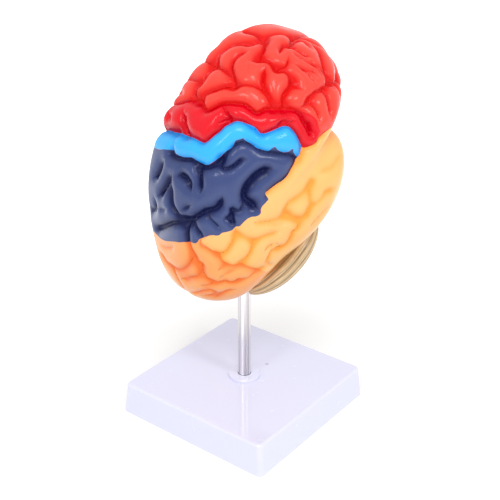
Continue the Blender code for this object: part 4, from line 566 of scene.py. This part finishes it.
def carve(points, lines):
    # Moves points near a furrow onto it, then gives how deep each point lies
    moved = points.copy()
    pull = np.full(len(points), FINE_SNAP)
    for _, width, line in lines:
        near = near_line(points, line, width)
        gap, spot, _, _ = nearest_on_line(points[near], line)
        closer = gap < pull[near]
        pull[near[closer]] = gap[closer]
        moved[near[closer]] = spot[closer]
    left = np.ones(len(points))
    crisp = np.interp(to_map(moved)[:, 0], CRISP_SPAN, CRISP_POWER)
    for number, (depth, width, line) in enumerate(lines):
        near = near_line(moved, line, width)
        gap, _, along, run = nearest_on_line(moved[near], line)
        others = lines[:number] + lines[number + 1:]
        start = 1.0 if meets(line[0], others) else END_SHARE
        end = 1.0 if meets(line[-1], others) else END_SHARE
        fade = np.clip(np.minimum(start + along / END_RUN, end + (run - along) / END_RUN), 0.0, 1.0)
        rest = np.clip(1.0 - np.hypot(gap, FLOOR_ROUND) / width, 0.0, 1.0)
        power = crisp[near]
        drop = 1.0 - np.maximum(1.0 - rest ** power, 0.0) ** (1.0 / power)
        left[near] *= 1.0 - np.clip(depth / DEEPEST * fade * drop, 0.0, MOST_DEEP)
    return moved, DEEPEST * (1.0 - left)


def slope(points):
    # The way straight out of the smooth form at each point
    parts = []
    for shift in np.eye(3) * SLOPE_STEP:
        parts.append(hemisphere(points + shift) - hemisphere(points - shift))
    return unit(np.stack(parts, axis=1))


def inside_outline(points, outline):
    x = points[:, 0]
    y = points[:, 1]
    inside = np.zeros(len(points), dtype=bool)
    for (x1, y1), (x2, y2) in zip(outline, outline[1:] + outline[:1]):
        crosses = (y1 > y) != (y2 > y)
        rise = y2 - y1 if y2 != y1 else 1e-12
        inside ^= crosses & (x < (x2 - x1) * (y - y1) / rise + x1)
    return inside


def brain_matrix():
    # The brain's axes as rows, in the model's frame
    yaw = math.radians(BRAIN_YAW)
    pitch = math.radians(BRAIN_PITCH)
    flat = np.array((math.cos(yaw), -math.sin(yaw), 0.0))
    side = np.array((-math.sin(yaw), -math.cos(yaw), 0.0))
    up = np.array((0.0, 0.0, 1.0))
    front = up * math.cos(pitch) + flat * math.sin(pitch)
    crown = up * math.sin(pitch) - flat * math.cos(pitch)
    return np.stack([front, crown, side])


BRAIN_AXES = brain_matrix()


def place_brain(points):
    # Brain millimetres to metres round the rod's axis at ROD_POINT_HEIGHT
    return (points - np.array(ROD_POINT)) @ BRAIN_AXES * MM


# Painted fields of the outer face as outlines on the map, and the lines that bound each of them
OUTER_FIELDS = {
    "precentral": LINE_FRONT + [(33, -16.5), (30, -14.5), (28.5, -12)] + LINE_CENTRAL[::-1],
    "postcentral": LINE_CENTRAL + LINE_REAR[::-1],
    "parietal": LINE_REAR + LINE_LOWER[1:] + LINE_BACK[1:] + [(-70, 100), (13, 130)],
    "temporal": LINE_LOWER[::-1] + LINE_SYLVIAN + [(30, -130), (-80, -130)] + LINE_TEMPORAL[::-1],
    "occipital": LINE_BACK + [(-160, 130), (-160, -130)] + LINE_TEMPORAL[::-1],
}
FIELD_BORDERS = {
    "precentral": [LINE_FRONT, LINE_CENTRAL, LINE_SYLVIAN[:8]],
    "postcentral": [LINE_CENTRAL, LINE_REAR, [LINE_CENTRAL[-1], LINE_REAR[-1]]],
    "parietal": [LINE_REAR, LINE_LOWER, LINE_BACK],
    "temporal": [LINE_LOWER, LINE_SYLVIAN, LINE_TEMPORAL],
    "occipital": [LINE_BACK, LINE_TEMPORAL],
}


def field_edges(points):
    # Signed distance to the border of each painted field, above zero inside it
    outer = points[:, 2] > INNER_BAND
    seen = to_map(points)
    flat = points[:, :2]
    spots = on_inner_face(flat)
    edges = {}
    for name in FIELD_COLOURS:
        ring = INNER_FIELDS[name]
        inside = ~outer & inside_outline(flat, ring)
        gap = np.full(len(points), EDGE_REACH)
        if name in OUTER_FIELDS:
            inside |= outer & inside_outline(seen, OUTER_FIELDS[name])
            for line in FIELD_BORDERS[name]:
                border = map_point(through(line, False, BORDER_STEPS))
                gap = np.minimum(gap, distance_to(points, border, EDGE_REACH))
        closed = on_inner_face(np.array(ring + ring[:1], dtype=float))
        gap = np.where(outer, gap, distance_to(spots, closed, EDGE_REACH))
        edges[name] = np.where(inside, gap, -gap)
    return edges


# Meshes
def edge_pairs(faces):
    return np.concatenate([faces[:, [0, 1]], faces[:, [1, 2]], faces[:, [2, 0]]])


def refine(points, faces, marked_edge):
    # Splits every marked edge of a triangle mesh at its middle
    unique, index = np.unique(np.sort(edge_pairs(faces), axis=1), axis=0, return_inverse=True)
    index = index.reshape(3, -1).T
    marks = marked_edge(points, unique)
    new_index = np.full(len(unique), -1)
    new_index[marks] = len(points) + np.arange(marks.sum())
    middle = 0.5 * (points[unique[marks, 0]] + points[unique[marks, 1]])
    flags = marks[index]
    total = flags.sum(axis=1)
    spots = np.column_stack([faces, new_index[index]])
    out = [faces[total == 0]]
    for turn in range(3):
        order = [turn, (turn + 1) % 3, (turn + 2) % 3]
        turned = spots[:, order + [3 + side for side in order]]
        flag = flags[:, order]
        chosen = {1: (total == 1) & flag[:, 0], 2: (total == 2) & flag[:, 0] & flag[:, 1]}
        for marked, rows in chosen.items():
            out += [turned[rows][:, corners] for corners in SPLITS[marked]]
    out += [spots[total == 3][:, corners] for corners in SPLITS[3]]
    return np.concatenate([points, middle]), np.concatenate(out)


def eased(values, faces, rounds):
    # Each point's value drawn towards the mean of its neighbours
    pairs = edge_pairs(faces)
    count = np.bincount(pairs[:, 0], minlength=len(values))
    for _ in range(rounds):
        total = np.bincount(pairs[:, 0], weights=values[pairs[:, 1]], minlength=len(values))
        values = 0.5 * (values + total / np.maximum(count, 1))
    return values


def smooth_mesh(name, points, faces):
    mesh = bpy.data.meshes.new(name)
    mesh.from_pydata(points.tolist(), [], faces)
    mesh.update()
    mesh.shade_smooth()
    return mesh


def set_values(mesh, name, values):
    layer = mesh.attributes.new(name, "FLOAT", "POINT")
    layer.data.foreach_set("value", np.asarray(values, dtype=np.float32))


def link(name, mesh, paint):
    made = bpy.data.objects.new(name, mesh)
    bpy.context.scene.collection.objects.link(made)
    made.data.materials.append(paint)
    return made


# Shader building
class Value:
    # A socket that takes part in sums
    def __init__(self, tree, socket):
        self.tree = tree
        self.socket = socket

    def math(self, operation, other):
        return add_node(self.tree, "ShaderNodeMath", {"operation": operation}, {0: self, 1: other})

    def __add__(self, other):
        return self.math("ADD", other)

    def __sub__(self, other):
        return self.math("SUBTRACT", other)

    def __rsub__(self, other):
        return (self * -1.0).math("ADD", other)

    def __mul__(self, other):
        return self.math("MULTIPLY", other)

    __radd__ = __add__
    __rmul__ = __mul__

    def smooth(self, low, high):
        # A soft step from 0 at low to 1 at high
        return add_node(self.tree, "ShaderNodeMapRange", {"interpolation_type": "SMOOTHSTEP"},
                        {"Value": self, "From Min": low, "From Max": high}, "Result")


def feed(tree, socket, value):
    if isinstance(value, Value):
        tree.links.new(value.socket, socket)
    else:
        socket.default_value = value


def add_node(tree, kind, settings, sockets, output=0):
    # A node with its settings, then the values or links of its sockets
    made = tree.nodes.new(kind)
    for name, value in settings.items():
        setattr(made, name, value)
    for name, value in sockets.items():
        feed(tree, made.inputs[name], value)
    return Value(tree, made.outputs[output])


def seen_rays(tree):
    # 1 for the rays of the camera, and for those that gloss and clear pieces send on
    camera = add_node(tree, "ShaderNodeLightPath", {}, {}, "Is Camera Ray")
    rays = camera.socket.node.outputs
    glossy = camera.math("MAXIMUM", Value(tree, rays["Is Glossy Ray"]))
    return glossy.math("MAXIMUM", Value(tree, rays["Is Transmission Ray"]))


class Paint:
    # A material with one Principled shader
    def __init__(self, name, colour, roughness, metallic=0.0, coat=0.0, coat_roughness=0.1):
        self.material = bpy.data.materials.new(name)
        self.material.use_nodes = True
        self.material.diffuse_color = colour
        self.tree = self.material.node_tree
        self.shader = self.tree.nodes["Principled BSDF"]
        self.set("Base Color", colour)
        self.set("Roughness", roughness)
        self.set("Metallic", metallic)
        self.set("Coat Weight", coat)
        self.set("Coat Roughness", coat_roughness)

    def set(self, name, value):
        feed(self.tree, self.shader.inputs[name], value)

    def attribute(self, name):
        return add_node(self.tree, "ShaderNodeAttribute", {"attribute_name": name}, {}, "Fac")

    def place(self):
        return add_node(self.tree, "ShaderNodeTexCoord", {}, {}, "Object")

    def far_from(self, point):
        return add_node(self.tree, "ShaderNodeVectorMath", {"operation": "DISTANCE"},
                        {0: self.place(), 1: point}, "Value")

    def noise(self, scale, detail=2.0, roughness=0.5, vector=None):
        return add_node(self.tree, "ShaderNodeTexNoise", {}, {
            "Vector": vector or self.place(), "Scale": scale, "Detail": detail, "Roughness": roughness})

    def mix(self, share, first, second):
        return add_node(self.tree, "ShaderNodeMix", {"data_type": "RGBA"}, {
            "Factor": share, COLOUR_A: first, COLOUR_B: second}, COLOUR_RESULT)

    def bump(self, height, strength, distance):
        self.set("Normal", add_node(self.tree, "ShaderNodeBump", {}, {
            "Strength": strength, "Distance": distance, "Height": height}))


def solid(red, green, blue):
    # A screen colour of 0 to 255 as linear light
    out = []
    for value in (red, green, blue):
        value = value / 255.0
        out.append(value / 12.92 if value <= 0.04045 else ((value + 0.055) / 1.055) ** 2.4)
    return (*out, 1.0)


# Paints: the colour on the folds of each field, and the darker one of the painted shade in its furrows
FRONTAL_RED = solid(250, 72, 57)
FRONTAL_FURROW_SHADE = solid(224, 20, 22)
FIELD_COLOURS = {
    "precentral": (solid(234, 0, 27), solid(212, 0, 26)),
    "postcentral": (solid(54, 185, 252), solid(20, 146, 236)),
    "parietal": (solid(58, 74, 125), solid(22, 28, 74)),
    "temporal": (solid(252, 194, 118), solid(252, 162, 66)),
    "occipital": (solid(252, 172, 98), solid(250, 122, 52)),
    "core": (solid(236, 222, 190), solid(196, 170, 128)),
}


def cerebrum_paint():
    paint = Paint("cerebrum_paint", FRONTAL_RED, 0.3, coat=COAT_WEIGHT, coat_roughness=0.18)
    paint.set("Specular IOR Level", 0.1)
    waver = (paint.noise(260.0) - 0.5) * BORDER_WAVER
    # The folds' colour, and the darker colour of the painted shade in the furrows
    colour, dark = FRONTAL_RED, FRONTAL_FURROW_SHADE
    for name, (fold, furrow) in FIELD_COLOURS.items():
        share = (paint.attribute(name) + waver).smooth(-BORDER_SOFT, BORDER_SOFT)
        colour = paint.mix(share, colour, fold)
        dark = paint.mix(share, dark, furrow)
    # Painted shade: the furrows take on their darker colour with depth
    low = paint.attribute("depth").smooth(*FURROW_SHADE_SPAN)
    colour = paint.mix(low * FURROW_SHADE, colour, dark)
    cloud = paint.noise(45.0, 3.0, 0.6).smooth(0.3, 0.75)
    paint.set("Base Color", paint.mix(cloud * 0.12, colour, dark))
    paint.set("Coat Weight", COAT_WEIGHT - low * COAT_LOSS)
    paint.set("Roughness", 0.27 + paint.noise(80.0) * 0.1)
    paint.bump(paint.noise(120.0) * 0.6 + paint.noise(420.0) * 0.25, strength=0.1, distance=0.9 * MM)
    return paint.material


def cerebellum_paint():
    ridge = solid(188, 156, 114)
    paint = Paint("cerebellum_paint", ridge, 0.36, coat=0.2, coat_roughness=0.2)
    # Lighter on the crests of the finer leaves
    colour = paint.mix(paint.attribute("fine").smooth(0.1, 0.8), solid(228, 198, 152), ridge)
    # Painted shade: darker in the furrows between the leaves
    colour = paint.mix(paint.attribute("furrow").smooth(0.15, 1.0) * 0.85, colour, solid(118, 90, 56))
    cloud = paint.noise(60.0, 3.0, 0.6).smooth(0.35, 0.7)
    paint.set("Base Color", paint.mix(cloud * 0.3, colour, solid(146, 120, 84)))
    paint.bump(paint.noise(300.0), strength=0.2, distance=0.6 * MM)
    return paint.material


# Castings
def shown_depth(drop, edges):
    # Depths as they are cut in the fine mesh: the share of each field, and eased floors
    share = np.full(len(drop), DEPTH_SHARE)
    for name, field_share in FIELD_DEPTH_SHARES.items():
        share += (field_share - DEPTH_SHARE) * np.interp(edges[name], FIELD_BLEND, (0.0, 1.0))
    lift = np.interp(edges["parietal"], FIELD_BLEND, FLOOR_LIFT)
    return share * (drop - lift * drop ** 3 / DEEPEST ** 2)


def build_fine_cerebrum():
    ball = bmesh.new()
    bmesh.ops.create_icosphere(ball, subdivisions=BALL_LEVEL, radius=1.0)
    ball.verts.ensure_lookup_table()
    rays = unit(np.array([vert.co[:] for vert in ball.verts]) * np.array(STAR_STRETCH))
    faces = np.array([[vert.index for vert in face.verts] for face in ball.faces])
    ball.free()
    centre = np.array(STAR_CENTRE)
    lines = furrow_lines()

    def near_furrow(points, edges):
        middle = 0.5 * (points[edges[:, 0]] + points[edges[:, 1]])
        length = np.linalg.norm(points[edges[:, 0]] - points[edges[:, 1]], axis=1)
        gap = np.full(len(edges), FINE_BAND)
        for _, _, line in lines:
            gap = np.minimum(gap, distance_to(middle, line, FINE_BAND))
        return (gap < FINE_BAND) & (length > FINE_EDGE)

    skin, faces = refine(cast(centre, rays), faces, near_furrow)
    rays = unit(skin - centre)
    moved, drop = carve(cast(centre, rays), lines)
    drop *= np.clip((-cut_distance(moved) - CUT_MARGIN) / CUT_FADE, 0.0, 1.0)
    drop = eased(drop, faces, EASE_ROUNDS)
    soft = eased(drop, faces, CREST_ROUNDS)
    drop += (soft - drop) * np.clip(1.0 - drop / CREST_DEPTH, 0.0, 1.0)
    normal = slope(moved)
    drop *= np.interp(np.sum(normal * rays, axis=1), GRAZE, (0.0, 1.0))
    edges = field_edges(moved)
    shape = moved - normal * shown_depth(drop, edges)[:, None]
    mesh = smooth_mesh("fine_cerebrum", place_brain(shape), faces.tolist())
    for name, values in {"depth": drop, **edges}.items():
        set_values(mesh, name, values)
    made = link("fine_cerebrum", mesh, cerebrum_paint())
    made.location = (MODEL_SHIFT * MM, 0, ROD_POINT_HEIGHT * MM)
    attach(made, "brain")
    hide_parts("cerebrum")


def build_fine_cerebellum():
    # An egg turned round its long axis, whose rows run along the leaves from tip to tip
    long_axis = np.array((CUT_NORMAL[1], -CUT_NORMAL[0], 0.0))
    down_axis = np.array((CUT_NORMAL[0], CUT_NORMAL[1], 0.0))
    out_axis = np.array((0.0, 0.0, 1.0))
    centre = np.array(LEAF_CENTRE)
    room = -cut_distance(centre[None, :])[0] + 0.5 * GAP / MM
    count = LEAF_COUNT * FINE_STEPS
    turn = math.pi * np.arange(1, FINE_ROWS)[:, None] / FINE_ROWS
    angle = (2 * math.pi * np.arange(count) / count)[None, :]
    down = np.cos(angle)
    side = np.sin(angle)
    shrink = np.sin(turn)
    radius = shrink / np.hypot(down / LEAF_RADII[1], side / LEAF_RADII[2])
    sway = LEAF_SWAY * np.sin(3.0 * turn + 5.0 * angle) / FINE_STEPS
    phase = LEAF_COUNT * angle / (2 * math.pi) + sway
    # The leaves, and finer ones between them that waver more
    ridge = np.abs(np.sin(math.pi * phase))
    fine = np.abs(np.sin(2.0 * math.pi * phase + 0.9 + 0.5 * np.sin(9.0 * turn + 7.0 * angle)))
    fade = np.minimum(1.0, LEAF_TIP_FADE * shrink)
    depth = LEAF_DEPTH * (1.0 - ridge ** LEAF_POWER) + FINE_LEAF_DEPTH * (1.0 - fine ** LEAF_POWER)
    radius = radius - depth * fade
    radius = np.where(down < 0, np.minimum(radius, room / np.minimum(down, -1e-6)), radius)
    radius = np.where(side < 0, np.minimum(radius, -centre[2] / np.minimum(side, -1e-6)), radius)
    spots = (centre + long_axis * (-LEAF_RADII[0] * np.cos(turn))[:, :, None]
             + down_axis * (down * radius)[:, :, None] + out_axis * (side * radius)[:, :, None])
    tip = long_axis * LEAF_RADII[0]
    points = np.concatenate([[centre - tip], spots.reshape(-1, 3), [centre + tip]])
    last = len(points) - 1
    faces = []
    for index in range(count):
        after = (index + 1) % count
        faces.append((0, 1 + after, 1 + index))
        for low in range(1, last - count, count):
            high = low + count
            faces.append((low + index, low + after, high + after, high + index))
        faces.append((last - count + index, last - count + after, last))
    mesh = smooth_mesh("fine_cerebellum", place_brain(points), faces)
    shape = bmesh.new()
    shape.from_mesh(mesh)
    bmesh.ops.recalc_face_normals(shape, faces=shape.faces)
    shape.to_mesh(mesh)
    shape.free()
    # Masks of the furrows between the leaves and between the finer leaves; the paint darkens the first as
    # painted shade
    for name, wave, power in (("furrow", ridge, 1.5), ("fine", fine, 2.0)):
        set_values(mesh, name, [0.5, *((1.0 - wave) ** power * fade).ravel(), 0.5])
    made = link("fine_cerebellum", mesh, cerebellum_paint())
    made.location = (MODEL_SHIFT * MM, 0, ROD_POINT_HEIGHT * MM)
    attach(made, "brain")
    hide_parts("cerebellum")


def paint_stand():
    white = solid(228, 230, 255)
    plastic = Paint("base_plastic", white, 0.25, coat=0.8, coat_roughness=0.05)
    # Painted shade of a small dimple in the top
    spot = plastic.far_from(BASE_DIMPLE_SHADE).smooth(*BASE_DIMPLE_SHADE_EDGE)
    plastic.set("Base Color", plastic.mix(spot * 0.6, white, solid(170, 168, 196)))
    plastic.set("Roughness", 0.22 + plastic.noise(90.0, 3.0) * 0.08)
    plastic.bump(plastic.noise(35.0), strength=0.01, distance=1.2 * MM)
    steel = Paint("rod_steel", solid(222, 220, 222), 0.22, metallic=1.0)
    grain = add_node(steel.tree, "ShaderNodeMapping", {}, {
        "Vector": steel.place(), "Scale": (1.0, 1.0, ROD_GRAIN_STRETCH)})
    drawn = steel.noise(620.0, vector=grain).smooth(0.38, 0.62)
    steel.set("Base Color", steel.mix(drawn, solid(190, 186, 190), solid(240, 238, 238)))
    steel.set("Roughness", 0.28 - drawn * 0.1)
    screw = Paint("screw_steel", solid(196, 196, 194), 0.32, metallic=1.0)
    screw.set("Roughness", 0.28 + screw.noise(600.0) * 0.1)
    for name, paint in (("base", plastic), ("rod", steel), ("base_screw", screw), ("base_washer", screw)):
        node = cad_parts[name]
        node.data.materials.clear()
        node.data.materials.append(paint.material)


# Room, lamps and camera
def build_room():
    paper = Paint("floor_paint", (0.9, 0.9, 0.9, 1.0), 0.7)
    glow = paper.far_from((0.0, 0.0, 0.0)).smooth(*GLOW_SPAN) * (1.0 - GLOW_NEAR) + GLOW_NEAR
    paper.set("Emission Color", paper.mix(glow * seen_rays(paper.tree), BLACK, WHITE))
    paper.set("Emission Strength", 1.0)
    corners = [(x * FLOOR_REACH, y * FLOOR_REACH) for x, y in ((-1, -1), (1, -1), (1, 1), (-1, 1))]
    points = [(x, y, height) for height in (-FLOOR_THICKNESS, 0.0) for x, y in corners]
    sides = [(low, (low + 1) % 4, (low + 1) % 4 + 4, low + 4) for low in range(4)]
    floor_mesh = bpy.data.meshes.new("floor")
    floor_mesh.from_pydata(points, [], [*sides, (3, 2, 1, 0), (4, 5, 6, 7)])
    link("floor", floor_mesh, paper.material)
    world = bpy.data.worlds.new("studio")
    bpy.context.scene.world = world
    world.use_nodes = True
    back = world.node_tree.nodes["Background"]
    back.inputs["Color"].default_value = WHITE
    strength = seen_rays(world.node_tree) * (1.0 - WORLD_LIGHT) + WORLD_LIGHT
    feed(world.node_tree, back.inputs["Strength"], strength)


def build_lamps():
    for name, (energy, size, position, target) in LAMPS.items():
        lamp = bpy.data.lights.new(name, "AREA")
        lamp.shape = "RECTANGLE"
        lamp.size, lamp.size_y = size
        lamp.energy = energy
        made = bpy.data.objects.new(name, lamp)
        made.location = position
        made.rotation_euler = (Vector(target) - Vector(position)).to_track_quat("-Z", "Y").to_euler()
        bpy.context.scene.collection.objects.link(made)


def build_camera():
    azimuth = math.radians(CAMERA_AZIMUTH)
    elevation = math.radians(CAMERA_ELEVATION)
    ahead = Vector((math.sin(azimuth) * math.cos(elevation), math.cos(azimuth) * math.cos(elevation),
                    -math.sin(elevation)))
    camera = bpy.data.cameras.new("camera")
    camera.sensor_width = SENSOR_WIDTH
    camera.lens = FOCAL_PIXELS / PICTURE_WIDTH * SENSOR_WIDTH
    camera.clip_start = 0.01
    camera.clip_end = 20.0
    made = bpy.data.objects.new("camera", camera)
    made.location = Vector(CAMERA_TARGET) * MM - ahead * CAMERA_DISTANCE * MM
    made.rotation_euler = ahead.to_track_quat("-Z", "Y").to_euler()
    bpy.context.scene.collection.objects.link(made)
    bpy.context.scene.camera = made


bpy.context.scene.view_settings.view_transform = "Standard"
paint_stand()
build_fine_cerebrum()
build_fine_cerebellum()
build_room()
build_lamps()
build_camera()
